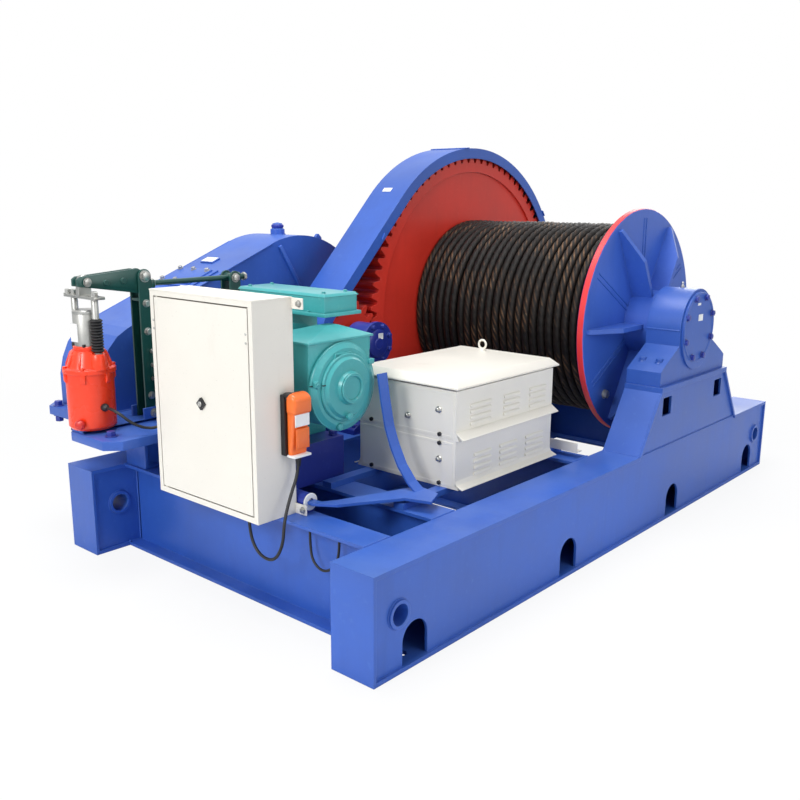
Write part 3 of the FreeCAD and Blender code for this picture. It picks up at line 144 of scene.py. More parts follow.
def white_room():
    """a pale floor, soft lamps and a sky that shows as white"""
    bpy.context.scene.view_settings.view_transform = "Standard"
    white_sky()
    pale_floor()
    area_light("overhead_softbox", (-0.5, -1.0, 6.5), (0, 0, 0.4), 3.5, 270)
    area_light("front_softbox", (0.6, -7.4, 4.4), (0, -0.4, 0.7), 2.4, 290)
    area_light("right_softbox", (7.0, 0.0, 3.4), (0, 0, 0.7), 4.0, 120)
    area_light("rear_softbox", (-1.5, 7.5, 4.0), (0, 0, 0.7), 4.0, 160)


# ------------------------------------------------------------------ finishes

class Finish:
    """a node material put together step by step"""

    def __init__(self, name, roughness, metallic=0.0, coat=0.0):
        self.material = bpy.data.materials.new(name)
        self.material.use_nodes = True
        self.tree = self.material.node_tree
        self.shader = self.tree.nodes["Principled BSDF"]
        self.shader.inputs["Metallic"].default_value = metallic
        self.shader.inputs["Roughness"].default_value = roughness
        self.shader.inputs["Coat Weight"].default_value = coat
        self.shader.inputs["Coat Roughness"].default_value = 0.2
        self.place = self.tree.nodes.new("ShaderNodeTexCoord")

    def node(self, kind, **settings):
        made = self.tree.nodes.new(kind)
        for key, value in settings.items():
            setattr(made, key, value)
        return made

    def link(self, source, target):
        self.tree.links.new(source, target)

    def noise(self, scale, detail=4, rough=0.55, stretch=None):
        made = self.node("ShaderNodeTexNoise")
        made.inputs["Scale"].default_value = scale
        made.inputs["Detail"].default_value = detail
        made.inputs["Roughness"].default_value = rough
        source = self.place.outputs["Object"]
        if stretch:
            mapping = self.node("ShaderNodeMapping")
            mapping.inputs["Scale"].default_value = stretch
            self.link(source, mapping.inputs["Vector"])
            source = mapping.outputs[0]
        self.link(source, made.inputs["Vector"])
        return made.outputs["Fac"]

    def ramp(self, source, *stops):
        made = self.node("ShaderNodeValToRGB")
        band = made.color_ramp
        while len(band.elements) < len(stops):
            band.elements.new(0.5)
        for element, (position, colour) in zip(band.elements, stops):
            element.position = position
            element.color = tuple(colour) + (1,) if len(colour) == 3 else colour
        self.link(source, made.inputs["Fac"])
        return made.outputs["Color"]

    def grey(self, source, low, high, first=0.0, last=1.0):
        made = self.node("ShaderNodeMapRange")
        made.inputs["From Min"].default_value = low
        made.inputs["From Max"].default_value = high
        made.inputs["To Min"].default_value = first
        made.inputs["To Max"].default_value = last
        self.link(source, made.inputs["Value"])
        return made.outputs["Result"]

    def times(self, first, second, operation="MULTIPLY"):
        made = self.node("ShaderNodeMath", operation=operation)
        for socket, value in zip(made.inputs, (first, second)):
            if isinstance(value, (int, float)):
                socket.default_value = value
            else:
                self.link(value, socket)
        return made.outputs[0]

    def blend(self, share, first, second):
        made = self.node("ShaderNodeMix", data_type="RGBA")
        for name, value in (("Factor", share), ("A", first), ("B", second)):
            socket = [s for s in made.inputs if s.name == name and s.enabled][0]
            if isinstance(value, (int, float)):
                socket.default_value = value
            elif isinstance(value, tuple):
                socket.default_value = value + (1,) if len(value) == 3 else value
            else:
                self.link(value, socket)
        return [s for s in made.outputs if s.enabled][0]

    def edges(self, radius):
        """near 1 along sharp edges; also gives the rounded normal"""
        rounded = self.node("ShaderNodeBevel", samples=4)
        rounded.inputs["Radius"].default_value = radius
        flat = self.node("ShaderNodeNewGeometry")
        dot = self.node("ShaderNodeVectorMath", operation="DOT_PRODUCT")
        self.link(rounded.outputs[0], dot.inputs[0])
        self.link(flat.outputs["Normal"], dot.inputs[1])
        self.rounded = rounded.outputs[0]
        return self.grey(self.times(1.0, dot.outputs["Value"], "SUBTRACT"), 0.02, 0.25)

    def colour(self, source):
        self.link(source, self.shader.inputs["Base Color"])

    def roughness(self, source, low, high):
        self.link(self.grey(source, 0.3, 0.7, low, high), self.shader.inputs["Roughness"])

    def bump(self, source, strength, distance=0.001):
        made = self.node("ShaderNodeBump")
        made.inputs["Strength"].default_value = strength
        made.inputs["Distance"].default_value = distance
        self.link(source, made.inputs["Height"])
        if getattr(self, "rounded", None):
            self.link(self.rounded, made.inputs["Normal"])
        self.link(made.outputs[0], self.shader.inputs["Normal"])
        self.rounded = made.outputs[0]


def linear(red, green, blue):
    """display colour 0 to 255, as light"""
    return tuple(c / 255 / 12.92 if c / 255 < 0.04045 else ((c / 255 + 0.055) / 1.055) ** 2.4
                 for c in (red, green, blue))


def scaled(colour, factor):
    return tuple(min(1.0, channel * factor) for channel in colour)


def enamel_finish(name, colour, rub, gloss=0.40, edge=0.004):
    """brushed-on machine enamel: patches of tone, orange peel, edges lightened as worn paint and as a painted
    highlight, and on top a pale dusting that is also a painted sky sheen
    """
    patchy, edge_wear_and_highlight = 0.16, 0.4
    finish = Finish(name, roughness=gloss, coat=0.08)
    broad = finish.noise(1.6, 5)
    tone = finish.ramp(broad, (0.3, scaled(colour, 1 - patchy)), (0.5, colour),
                       (0.7, scaled(colour, 1 + patchy)))
    streaks = finish.noise(3.0, 6, 0.6, stretch=(6, 6, 0.7))
    tone = finish.blend(finish.grey(streaks, 0.52, 0.75, 0, 0.22), tone, scaled(colour, 0.72))
    fine = finish.noise(38, 4)
    tone = finish.blend(finish.grey(fine, 0.60, 0.80, 0, 0.18), tone, scaled(rub, 0.9))
    # edges lightened toward the rub colour: partly worn paint, partly a painted highlight along the edges
    edge_mask = finish.times(finish.edges(edge), finish.grey(finish.noise(14, 5), 0.35, 0.65))
    tone = finish.blend(finish.times(edge_mask, edge_wear_and_highlight), tone, rub)
    # upward faces blended toward pale sky blue: a dusting, and also a painted sky sheen on the tops
    up = finish.node("ShaderNodeSeparateXYZ")
    flat = finish.node("ShaderNodeNewGeometry")
    finish.link(flat.outputs["Normal"], up.inputs[0])
    dust_and_top_sheen = finish.times(finish.grey(up.outputs["Z"], 0.7, 1.0),
                        finish.grey(finish.noise(4.5, 6), 0.35, 0.75, 0, 0.12))
    tone = finish.blend(dust_and_top_sheen, tone, linear(168, 190, 218))
    finish.colour(tone)
    finish.roughness(broad, gloss - 0.06, gloss + 0.10)
    finish.bump(finish.noise(260, 2), 0.10, 0.0006)
    finish.bump(finish.noise(7, 4), 0.08, 0.004)
    return finish


def enamel(*values, **settings):
    return enamel_finish(*values, **settings).material


def rim_paint(name, colour, rim_colour, rub, centre, radius):
    """enamel whose outer rim, beyond a radius about the X axis through centre, has another colour"""
    finish = enamel_finish(name, colour, rub)
    under = finish.shader.inputs["Base Color"].links[0].from_socket
    shift = finish.node("ShaderNodeVectorMath", operation="SUBTRACT")
    shift.inputs[1].default_value = centre
    flat = finish.node("ShaderNodeVectorMath", operation="MULTIPLY")
    flat.inputs[1].default_value = (0, 1, 1)
    size = finish.node("ShaderNodeVectorMath", operation="LENGTH")
    finish.link(finish.place.outputs["Object"], shift.inputs[0])
    finish.link(shift.outputs[0], flat.inputs[0])
    finish.link(flat.outputs[0], size.inputs[0])
    ragged = finish.node("ShaderNodeMath", operation="MULTIPLY_ADD")
    ragged.inputs[1].default_value = 0.004
    finish.link(finish.noise(30, 2, 0.5), ragged.inputs[0])
    finish.link(size.outputs["Value"], ragged.inputs[2])
    beyond = finish.grey(ragged.outputs[0], radius - 0.0008, radius + 0.0008)
    finish.colour(finish.blend(beyond, under, rim_colour))
    return finish.material


def powder_coat(name, colour, grime):
    """smooth powder coat on sheet metal with faint stains and dark edges"""
    finish = Finish(name, roughness=0.42)
    broad = finish.noise(2.2, 5)
    tone = finish.ramp(broad, (0.32, scaled(colour, 0.955)), (0.62, colour))
    stain = finish.noise(5.5, 8, 0.62, stretch=(1, 1, 0.35))
    tone = finish.blend(finish.grey(stain, 0.60, 0.82, 0, 0.32), tone, grime)
    specks = finish.noise(160, 2)
    tone = finish.blend(finish.grey(specks, 0.70, 0.80, 0, 0.4), tone, scaled(grime, 0.6))
    tone = finish.blend(finish.times(finish.edges(0.002), 0.35), tone, scaled(colour, 0.8))
    finish.colour(tone)
    finish.roughness(broad, 0.38, 0.5)
    finish.bump(finish.noise(420, 2), 0.08, 0.0004)
    return finish.material


def bare_steel(name, colour, rough=0.34, rust=0.25):
    """turned or drawn steel with fine lines, dull patches and a little rust"""
    finish = Finish(name, roughness=rough, metallic=0.9)
    broad = finish.noise(6, 5)
    tone = finish.ramp(broad, (0.3, scaled(colour, 0.75)), (0.7, colour))
    spots = finish.noise(26, 6, 0.65)
    tone = finish.blend(finish.grey(spots, 0.58, 0.72, 0, rust), tone, linear(104, 62, 38))
    finish.colour(tone)
    finish.roughness(broad, rough - 0.06, rough + 0.18)
    finish.bump(finish.noise(90, 3, stretch=(12, 1, 1)), 0.12, 0.0006)
    return finish.material


def dull(name, colour, rough, grain=300.0, light=1.3, coat=0.0):
    """rubber, moulded plastic or soot-black paint with a fine grain"""
    finish = Finish(name, roughness=rough, coat=coat)
    broad = finish.noise(9, 5)
    tone = finish.ramp(broad, (0.3, scaled(colour, 0.8)), (0.7, colour))
    grey_spots = finish.grey(finish.noise(55, 4), 0.5, 0.8, 0, 0.35)
    finish.colour(finish.blend(grey_spots, tone, scaled(colour, light)))
    finish.roughness(broad, rough - 0.06, rough + 0.08)
    finish.bump(finish.noise(grain, 2), 0.15, 0.0005)
    return finish.material


def greased_rope(name):
    """dark greased strands; the outward crowns turn tan in patches: partly worn shine, partly a painted
    highlight
    """
    finish = Finish(name, roughness=0.5, metallic=0.1)
    finish.shader.inputs["Specular IOR Level"].default_value = 0.25
    split = finish.node("ShaderNodeSeparateXYZ")
    finish.link(finish.place.outputs["UV"], split.inputs[0])
    crown = finish.node("ShaderNodeAttribute", attribute_name="crown")
    wires = finish.node("ShaderNodeTexWave", wave_type="BANDS", bands_direction="X")
    wires.inputs["Scale"].default_value = 1.0
    slant = finish.node("ShaderNodeCombineXYZ")
    finish.link(finish.times(finish.times(split.outputs["X"], 130.0), finish.times(split.outputs["Y"], 9.0),
                             "ADD"), slant.inputs["X"])
    finish.link(slant.outputs[0], wires.inputs["Vector"])
    patches = finish.noise(5.0, 6, 0.65)
    # tan on the outward strand crowns: partly worn shine, partly a painted highlight
    worn_shine_and_highlight = finish.times(finish.grey(crown.outputs["Fac"], 0.55, 1.0), finish.grey(patches, 0.47, 0.66))
    tone = finish.blend(finish.grey(finish.noise(60, 4), 0.35, 0.75), linear(8, 7, 7), linear(28, 21, 17))
    tone = finish.blend(finish.times(worn_shine_and_highlight, 0.85), tone,
                        finish.ramp(finish.noise(22, 4), (0.35, linear(92, 66, 48)),
                                    (0.6, linear(150, 112, 80)), (0.75, linear(206, 178, 140))))
    finish.colour(tone)
    finish.bump(wires.outputs["Fac"], 0.35, 0.0015)
    return finish.material


BLUE = linear(46, 90, 180)
# lighter blue for worn edges and specks; on edges it is also a painted highlight
BLUE_RUB_HIGHLIGHT = linear(96, 140, 212)
# a darker copy of the frame blue: painted shade for the stand, barrel, bearings, caps and bolts that sit in
# shade
SHADED_BLUE = linear(38, 54, 150)
RED = linear(216, 50, 34)
TEAL = linear(66, 164, 166)
GREEN = linear(22, 72, 66)
ORANGE_RED = linear(248, 62, 24)
CREAM = linear(236, 231, 220)

FINISHES = {
    "blue": enamel("blue_enamel", BLUE, BLUE_RUB_HIGHLIGHT),
    "flange": rim_paint("flange_enamel", linear(56, 96, 188), linear(228, 52, 58), BLUE_RUB_HIGHLIGHT,
                        (0, 0.665, 0.930), 0.570),
    "dark_blue": enamel("dark_blue_enamel", SHADED_BLUE, linear(96, 120, 210), gloss=0.34),
    "red": enamel("red_enamel", RED, linear(238, 110, 88), gloss=0.42),
    "teal": enamel("teal_enamel", TEAL, linear(150, 225, 215), gloss=0.30, edge=0.003),
    "green": enamel("green_enamel", GREEN, linear(70, 130, 118), gloss=0.32, edge=0.002),
    "orange_red": enamel("orange_red_enamel", ORANGE_RED, linear(250, 150, 110), gloss=0.26, edge=0.003),
    "white": powder_coat("white_powder_coat", CREAM, linear(190, 178, 158)),
    "label": powder_coat("blank_plate", linear(242, 242, 240), linear(205, 205, 200)),
    "steel": bare_steel("machined_steel", linear(168, 168, 170)),
    "grey_steel": bare_steel("zinc_plated_steel", linear(190, 190, 186), 0.3, 0.1),
    "rope": greased_rope("greased_wire_rope"),
    "rubber": dull("black_rubber", linear(24, 24, 26), 0.5),
    "black": dull("black_plastic", linear(28, 28, 32), 0.42),
    "orange": dull("orange_plastic", linear(255, 118, 40), 0.32, 380.0, 1.15, 0.2),
    "red_plastic": dull("red_plastic", linear(206, 36, 30), 0.35, 380.0, 1.15, 0.2),
}

NODE_FINISH = {"blue": ["right_side_beam", "left_side_beam", "lifting_tubes", "front_cross_beam",
                        "second_cross_beam", "third_cross_beam", "rear_cross_beam", "inner_girder",
                        "gearbox_outrigger", "drum_pedestal_right", "drum_pedestal_left", "gear_guard",
                        "guard_legs", "gearbox_housing", "gearbox_base", "resistor_rails", "pedal",
                        "brake_base", "brake_stand", "drum_bearing_right", "drum_bearing_left",
                        "drum_bearing_covers"],
               "dark_blue": ["pinion_bearing", "motor_stand", "pedal_tube", "drum_barrel", "pinion_coupling"],
               "flange": ["drum_flange"], "red": ["drum_gear", "drive_pinion"],
               "teal": ["motor_body", "motor_terminal_box", "slip_ring_housing", "motor_end_cover"],
               "green": ["brake_arm_front", "brake_arm_rear", "brake_tie_rod", "brake_lever"],
               "orange_red": ["thruster_body"],
               "white": ["cabinet_shell", "cabinet_door", "resistor_box_lower", "resistor_box_upper",
                         "resistor_lid", "cross_angle"],
               "steel": ["drum_shaft", "pinion_shaft", "brake_wheel"],
               "grey_steel": ["thruster_cylinder", "thruster_rod"], "rope": ["rope_winding"],
               "rubber": ["pendant_cable", "slip_ring_cable", "thruster_cable"],
               "black": ["door_lock", "pendant_holder"], "orange": ["pendant"], }


def coat_nodes():
    for finish, names in NODE_FINISH.items():
        for name in names:
            mesh = NODES[name].data
            mesh.materials.clear()
            mesh.materials.append(FINISHES[finish])


# ------------------------------------------------------------------ making and copying pieces

def deselect():
    bpy.ops.object.select_all(action="DESELECT")


def settle(piece, name, finish, body="root", smooth=30):
    """name, finish and fasten a piece; its place goes into its mesh"""
    deselect()
    piece.select_set(True)
    bpy.context.view_layer.objects.active = piece
    bpy.ops.object.transform_apply(location=True, rotation=True, scale=True)
    if smooth:
        bpy.ops.object.shade_smooth_by_angle(angle=math.radians(smooth))
    piece.name = name
    piece.data.name = name
    piece.data.materials.clear()
    piece.data.materials.append(FINISHES[finish])
    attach(piece, body)
    return piece


def select_faces(test):
    """in edit mode, select the faces whose centre and normal pass the test"""
    mesh = bmesh.from_edit_mesh(bpy.context.object.data)
    for face in mesh.faces:
        face.select = False
    bpy.context.tool_settings.mesh_select_mode = (False, False, True)
    for face in mesh.faces:
        face.select = bool(test(face.calc_center_median(), face.normal))
    mesh.select_flush(False)
    bmesh.update_edit_mesh(bpy.context.object.data)


def edit(piece):
    deselect()
    piece.select_set(True)
    bpy.context.view_layer.objects.active = piece
    bpy.ops.object.mode_set(mode="EDIT")


def leave():
    bpy.ops.object.mode_set(mode="OBJECT")


def bevel(piece, width, segments=2):
    """round the edges of a piece with a modifier, applied"""
    deselect()
    piece.select_set(True)
    bpy.context.view_layer.objects.active = piece
    rounding = piece.modifiers.new("rounding", "BEVEL")
    rounding.width = width
    rounding.segments = segments
    rounding.limit_method = "ANGLE"
    rounding.angle_limit = math.radians(30)
    bpy.ops.object.modifier_apply(modifier="rounding")


def facing(normal, place=(0, 0, 0), twist=0.0):
    """matrix that turns +Z to a normal and moves to a place"""
    turn = Vector(normal).to_track_quat("Z", "Y").to_matrix().to_4x4()
    return Matrix.Translation(place) @ turn @ Matrix.Rotation(twist, 4, "Z")


def copies(master, matrices):
    """one joined object with a copy of the master at each matrix; the master goes"""
    made = []
    for matrix in matrices:
        piece = master.copy()
        piece.data = master.data.copy()
        piece.data.transform(matrix)
        bpy.context.scene.collection.objects.link(piece)
        made.append(piece)
    bpy.data.objects.remove(master)
    deselect()
    for piece in made:
        piece.select_set(True)
    bpy.context.view_layer.objects.active = made[0]
    if len(made) > 1:
        bpy.ops.object.join()
    return bpy.context.object


def hex_bolt(across, height, washer=True):
    """a bolt head with a chamfered crown on its washer, standing on z = 0"""
    deselect()
    base = 0.18 * height if washer else 0.0
    bpy.ops.mesh.primitive_cylinder_add(vertices=6, radius=across / 1.732, depth=height - base,
                                        location=(0, 0, (height + base) / 2))
    head = bpy.context.object
    bpy.ops.object.transform_apply(location=True)
    edit(head)
    select_faces(lambda centre, normal: normal.z > 0.9)
    bpy.ops.mesh.inset(thickness=across * 0.10, depth=0)
    bpy.ops.transform.translate(value=(0, 0, height * 0.10))
    leave()
    if washer:
        bpy.ops.mesh.primitive_cylinder_add(vertices=16, radius=across * 0.72, depth=base,
                                            location=(0, 0, base / 2))
        bpy.ops.object.transform_apply(location=True)
        head.select_set(True)
        bpy.context.view_layer.objects.active = head
        bpy.ops.object.join()
    return bpy.context.object


def circle_places(centre, axis, radius, count, start=0.0):
    """matrices evenly round a circle about X, Y or Z"""
    made = []
    for i in range(count):
        angle = start + 2 * math.pi * i / count
        across, up = radius * math.cos(angle), radius * math.sin(angle)
        offset = {"X": (0, across, up), "Y": (across, 0, up), "Z": (across, up, 0)}[axis[-1]]
        sign = -1 if axis[0] == "-" else 1
        normal = {"X": (sign, 0, 0), "Y": (0, sign, 0), "Z": (0, 0, sign)}[axis[-1]]
        made.append(facing(normal, Vector(centre) + Vector(offset), angle))
    return made


def block(low, high):
    """a box between two corners"""
    deselect()
    low, high = Vector(low), Vector(high)
    bpy.ops.mesh.primitive_cube_add(size=1, location=(low + high) / 2)
    piece = bpy.context.object
    piece.scale = high - low
    bpy.ops.object.transform_apply(location=True, scale=True)
    return piece


def cut_off(piece, point, normal):
    """cut away what lies beyond a plane, on the side of its normal, and close the cut"""
    edit(piece)
    bpy.ops.mesh.select_all(action="SELECT")
    bpy.ops.mesh.bisect(plane_co=point, plane_no=normal, use_fill=True, clear_outer=True)
    leave()
    return piece


def sink(piece, test, border, depth):
    """inset the chosen faces and push them in (or out)"""
    edit(piece)
    select_faces(test)
    bpy.ops.mesh.inset(thickness=border, depth=0)
    bpy.ops.mesh.inset(thickness=min(abs(depth) * 0.4, border), depth=-depth)
    leave()
    return piece


def turned(profile, vertices=32, hollow=False):
    """a form turned about Z: heights and radii, closed at both ends, or a ring where hollow"""
    deselect()
    height, radius = profile[0]
    bpy.ops.mesh.primitive_circle_add(vertices=vertices, radius=radius, location=(0, 0, height),
                                      fill_type="NOTHING" if hollow else "NGON")
    piece = bpy.context.object
    bpy.ops.object.transform_apply(location=True)
    edit(piece)
    bpy.ops.mesh.select_all(action="SELECT")
    for next_height, next_radius in list(profile[1:]) + ([profile[0]] if hollow else []):
        if hollow:
            bpy.ops.mesh.extrude_edges_move(TRANSFORM_OT_translate={"value": (0, 0, next_height - height)})
        else:
            bpy.ops.mesh.extrude_region_move(TRANSFORM_OT_translate={"value": (0, 0, next_height - height)})
        ratio = next_radius / radius
        bpy.ops.transform.resize(value=(ratio, ratio, 1), center_override=(0, 0, next_height))
        height, radius = next_height, next_radius
    bpy.ops.mesh.select_all(action="SELECT")
    bpy.ops.mesh.remove_doubles(threshold=0.00001)
    bpy.ops.mesh.normals_make_consistent(inside=False)
    leave()
    return piece


def prism(corners, axis, first, last):
    """a profile of (y, z) or (x, z) corners, pushed along X or Y"""
    deselect()
    bpy.ops.mesh.primitive_circle_add(vertices=len(corners), radius=1, fill_type="NGON")
    piece = bpy.context.object
    for vertex, (across, up) in zip(piece.data.vertices, corners):
        vertex.co = (first, across, up) if axis == "X" else (across, first, up)
    push = (last - first, 0, 0) if axis == "X" else (0, last - first, 0)
    edit(piece)
    bpy.ops.mesh.select_all(action="SELECT")
    bpy.ops.mesh.extrude_region_move(TRANSFORM_OT_translate={"value": push})
    bpy.ops.mesh.select_all(action="SELECT")
    bpy.ops.mesh.normals_make_consistent(inside=False)
    leave()
    return piece


def hipped(low, high, inset_low, inset_high):
    """a block whose top is drawn in: insets (x, y) at its low and high sides"""
    piece = block(low, high)
    for vertex in piece.data.vertices:
        if vertex.co.z > (low[2] + high[2]) / 2:
            vertex.co.x += inset_low[0] if vertex.co.x < (low[0] + high[0]) / 2 else -inset_high[0]
            vertex.co.y += inset_low[1] if vertex.co.y < (low[1] + high[1]) / 2 else -inset_high[1]
    return piece


def moved(piece, matrix):
    piece.data.transform(matrix)
    return piece


def joined(pieces):
    deselect()
    for piece in pieces:
        piece.select_set(True)
    bpy.context.view_layer.objects.active = pieces[0]
    if len(pieces) > 1:
        bpy.ops.object.join()
    return bpy.context.object


def bolts(name, finish, places, across=0.03, height=0.018, body="root", washer=True):
    """hexagon bolts at the given matrices, as one piece"""
    return settle(copies(hex_bolt(across, height, washer), places), name, finish, body)


def plate(name, finish, low, high, rounding, segments=2, rim=0.0, depth=0.0, face=None):
    """a rounded plate on the root body, with a shallow sunk panel in the face that looks along face"""
    piece = block(low, high)
    if rim:
        way = Vector(face)
        sink(piece, lambda centre, normal: normal.dot(way) > 0.9, rim, depth)
    bevel(piece, rounding, segments)
    return settle(piece, name, finish, "root")


def spun(name, finish, profile, place, vertices=32, hollow=False, body="root"):
    """a turned piece moved to its place, named and finished"""
    return settle(moved(turned(profile, vertices, hollow), place), name, finish, body)


def label(name, low, high, face):
    """a blank plate with a sunk panel"""
    return plate(name, "label", low, high, 0.0008, rim=0.004, depth=0.0006, face=face)


def weld_lines(name, lines, size=0.006, body="root"):
    """weld beads of overlapping ripples along straight lines"""
    beads = []
    for start, end in lines:
        start, end = Vector(start), Vector(end)
        pitch = size * 1.25
        deselect()
        bpy.ops.mesh.primitive_uv_sphere_add(segments=6, ring_count=4, radius=size)
        bead = bpy.context.object
        bead.scale = (1.25, 0.8, 0.8)
        bpy.ops.object.transform_apply(scale=True)
        row = bead.modifiers.new("row", "ARRAY")
        row.use_relative_offset = False
        row.use_constant_offset = True
        row.constant_offset_displace = (pitch, 0, 0)
        row.count = max(2, int((end - start).length / pitch))
        bpy.ops.object.modifier_apply(modifier="row")
        turn = (end - start).to_track_quat("X", "Z").to_matrix().to_4x4()
        beads.append(moved(bead, Matrix.Translation(start) @ turn))
    return settle(joined(beads), name, "blue", body, smooth=60)


def weld_rings(name, rings, size):
    """weld beads round circles: centre, axis, radius"""
    beads = []
    for centre, axis, radius in rings:
        deselect()
        bpy.ops.mesh.primitive_uv_sphere_add(segments=6, ring_count=4, radius=size)
        bead = bpy.context.object
        bead.scale = (0.8, 1.25, 0.8)
        bpy.ops.object.transform_apply(scale=True)
        beads.append(copies(bead,
                            circle_places(centre, axis, radius, int(2 * math.pi * radius / size / 1.25))))
    return settle(joined(beads), name, "blue", "root", smooth=60)


# ------------------------------------------------------------------ cables

def cable(name, node, points, diameter):
    curve = bpy.data.curves.new(name, "CURVE")
    curve.dimensions = "3D"
    spline = curve.splines.new("NURBS")
    spline.points.add(len(points) - 1)
    for point, place in zip(spline.points, points):
        point.co = tuple(place) + (1,)
    spline.order_u = 3
    spline.use_endpoint_u = True
    curve.resolution_u = 12
    curve.bevel_depth = diameter / 2
    curve.bevel_resolution = 5
    curve.use_fill_caps = True
    piece = bpy.data.objects.new(name, curve)
    bpy.context.scene.collection.objects.link(piece)
    curve.materials.append(FINISHES["rubber"])
    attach(piece, "root")
    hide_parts(node)
    probe = bpy.data.objects.new(name + "_line", curve.copy())
    probe.data.bevel_depth = 0
    bpy.context.scene.collection.objects.link(probe)
    bpy.context.view_layer.update()
    line = bpy.data.meshes.new_from_object(probe)
    bpy.data.objects.remove(probe)
    bpy.data.meshes.remove(line)
    return piece


def cables():
    pendant = [(0.343, -1.475, 0.620), (0.343, -1.475, 0.560), (0.352, -1.525, 0.480), (0.368, -1.572, 0.400),
               (0.378, -1.590, 0.310), (0.330, -1.594, 0.235), (0.240, -1.592, 0.240), (0.190, -1.590, 0.310),
               (0.190, -1.590, 0.385)]
    cable("pendant_lead", "pendant_cable", pendant, 0.012)
    rings = [(0.430, -1.505, 0.371), (0.430, -1.505, 0.310), (0.455, -1.518, 0.250), (0.515, -1.522, 0.225),
             (0.566, -1.514, 0.255), (0.582, -1.505, 0.310), (0.582, -1.505, 0.371)]
    cable("motor_lead", "slip_ring_cable", rings, 0.010)
    brake = [(-0.5417, -1.715, 0.700), (-0.482, -1.715, 0.700), (-0.435, -1.668, 0.640),
             (-0.408, -1.600, 0.612), (-0.365, -1.550, 0.640), (-0.305, -1.550, 0.640)]
    cable("brake_lead", "thruster_cable", brake, 0.012)


# ------------------------------------------------------------------ drum and rope

DRUM_Y, DRUM_Z = 0.665, 0.930
MOTOR_Y, MOTOR_Z, SHAFT_Z = -1.212, 0.835, 0.835
PINION_Y = DRUM_Y - math.sqrt(1.02 ** 2 - 0.095 ** 2)
BRAKE_X, THRUSTER_Y = -0.660, -1.715
LEVER_PIN, LEVER_EYE = 1.215, 1.205
BRAKE_FRONT, BRAKE_REAR = MOTOR_Y - 0.240, MOTOR_Y + 0.240
ARM_HALF = 0.037
TANK_BASE, TANK_RIM, TANK_NECK, TANK_TOP = 0.604, 0.850, 0.930, 1.083
ROD_APART = 0.078
WALL_RIGHT, WALL_LEFT = -0.860, -1.210
COVER_FACE = 0.300
BEAM_TOP, BEAM_INNER = 0.385, 0.735
TUBE_Y, TUBE_Z = 1.57, 0.213
PEDESTAL_HALF = 1.130 / 2


def rope_turn(radius, thick):
    """one turn of six-strand rope about the drum axis, at x = 0"""
    deselect()
    bpy.ops.mesh.primitive_torus_add(major_segments=288, minor_segments=18, major_radius=radius,
                                     minor_radius=thick / 2, rotation=(0, math.pi / 2, 0))
    turn = bpy.context.object
    bpy.ops.object.transform_apply(rotation=True)
    # crown: 1 on the outward strand crests, where the rope material paints its tan highlight
    crown = turn.data.attributes.new("crown", "FLOAT", "POINT")
    lays = 11
    for vertex in turn.data.vertices:
        place = vertex.co
        around = math.atan2(place.z, place.y)
        middle = Vector((0, radius * math.cos(around), radius * math.sin(around)))
        out = middle.normalized()
        arm = place - middle
        phase = math.atan2(arm.x, arm.dot(out))
        lobe = abs(math.cos(3 * (phase - lays * around)))
        crown.data[vertex.index].value = lobe * max(0.0, math.cos(phase))
        vertex.co = middle + arm * (0.80 + 0.24 * lobe ** 0.7)
    return turn


def rope_on_drum():
    low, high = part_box("rope_winding")
    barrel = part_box("drum_barrel")[1].z - DRUM_Z
    outer = high.z - DRUM_Z
    thick = 0.044
    rng = random.Random(7)
    groups = {"lower": [], "upper": []}
    count = int((high.x - low.x) / thick)
    step = (high.x - low.x - thick) / (count - 1)
    for i in range(count):
        groups["lower"].append((low.x + thick / 2 + i * step, barrel + thick / 2 + 0.001))
    upper = count - 1
    for i in range(upper):
        lift = rng.uniform(-0.0025, 0.0015)
        place = low.x + thick * 0.55 + i * (high.x - low.x - thick * 1.1) / (upper - 1)
        shift = -0.004 if i < 6 else 0.0015
        groups["upper"].append((place + shift + rng.uniform(-0.0015, 0.0015), outer - thick * 0.52 + lift))
    pieces = []
    for layer, turns in groups.items():
        master = rope_turn(sum(r for x, r in turns) / len(turns), thick)
        mean = sum(r for x, r in turns) / len(turns)
        half = len(turns) // 3 + 1
        for part in range(0, len(turns), half):
            spare = master.copy()
            spare.data = master.data.copy()
            bpy.context.scene.collection.objects.link(spare)
            matrices = []
            for x, r in turns[part:part + half]:
                grow = Matrix.Diagonal((1, r / mean, r / mean, 1))
                turn = Matrix.Rotation(rng.uniform(0, 6.28), 4, "X")
                matrices.append(Matrix.Translation((x, DRUM_Y, DRUM_Z)) @ turn @ grow)
            piece = copies(spare, matrices)
            settle(piece, "rope_%s_layer_%d" % (layer, part // half + 1), "rope", "drum",
                   smooth=70)
            pieces.append(piece)
        bpy.data.objects.remove(master)
    for piece in pieces:
        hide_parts("rope_winding")


# ------------------------------------------------------------------ base frame and drum supports

def beam_welds():
    """beads where the cross beams meet the side beams"""
    top, inner = BEAM_TOP, BEAM_INNER
    lines = []
    for node in ("front_cross_beam", "second_cross_beam", "third_cross_beam", "rear_cross_beam"):
        low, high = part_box(node)
        middle = (low.y + high.y) / 2
        for side in (-1, 1):
            for y in (low.y, high.y):
                lines.append(((side * (inner - 0.001), y, 0.012), (side * (inner - 0.001), y, 0.016)))
            lines.append(((side * (inner - 0.003), low.y, top), (side * (inner - 0.003), high.y, top)))
            for y in (middle - 0.008, middle + 0.008):
                lines.append(((side * (inner + 0.008), y, 0.02), (side * (inner + 0.008), y, 0.365)))
    weld_lines("cross_beam_welds", lines, 0.006)


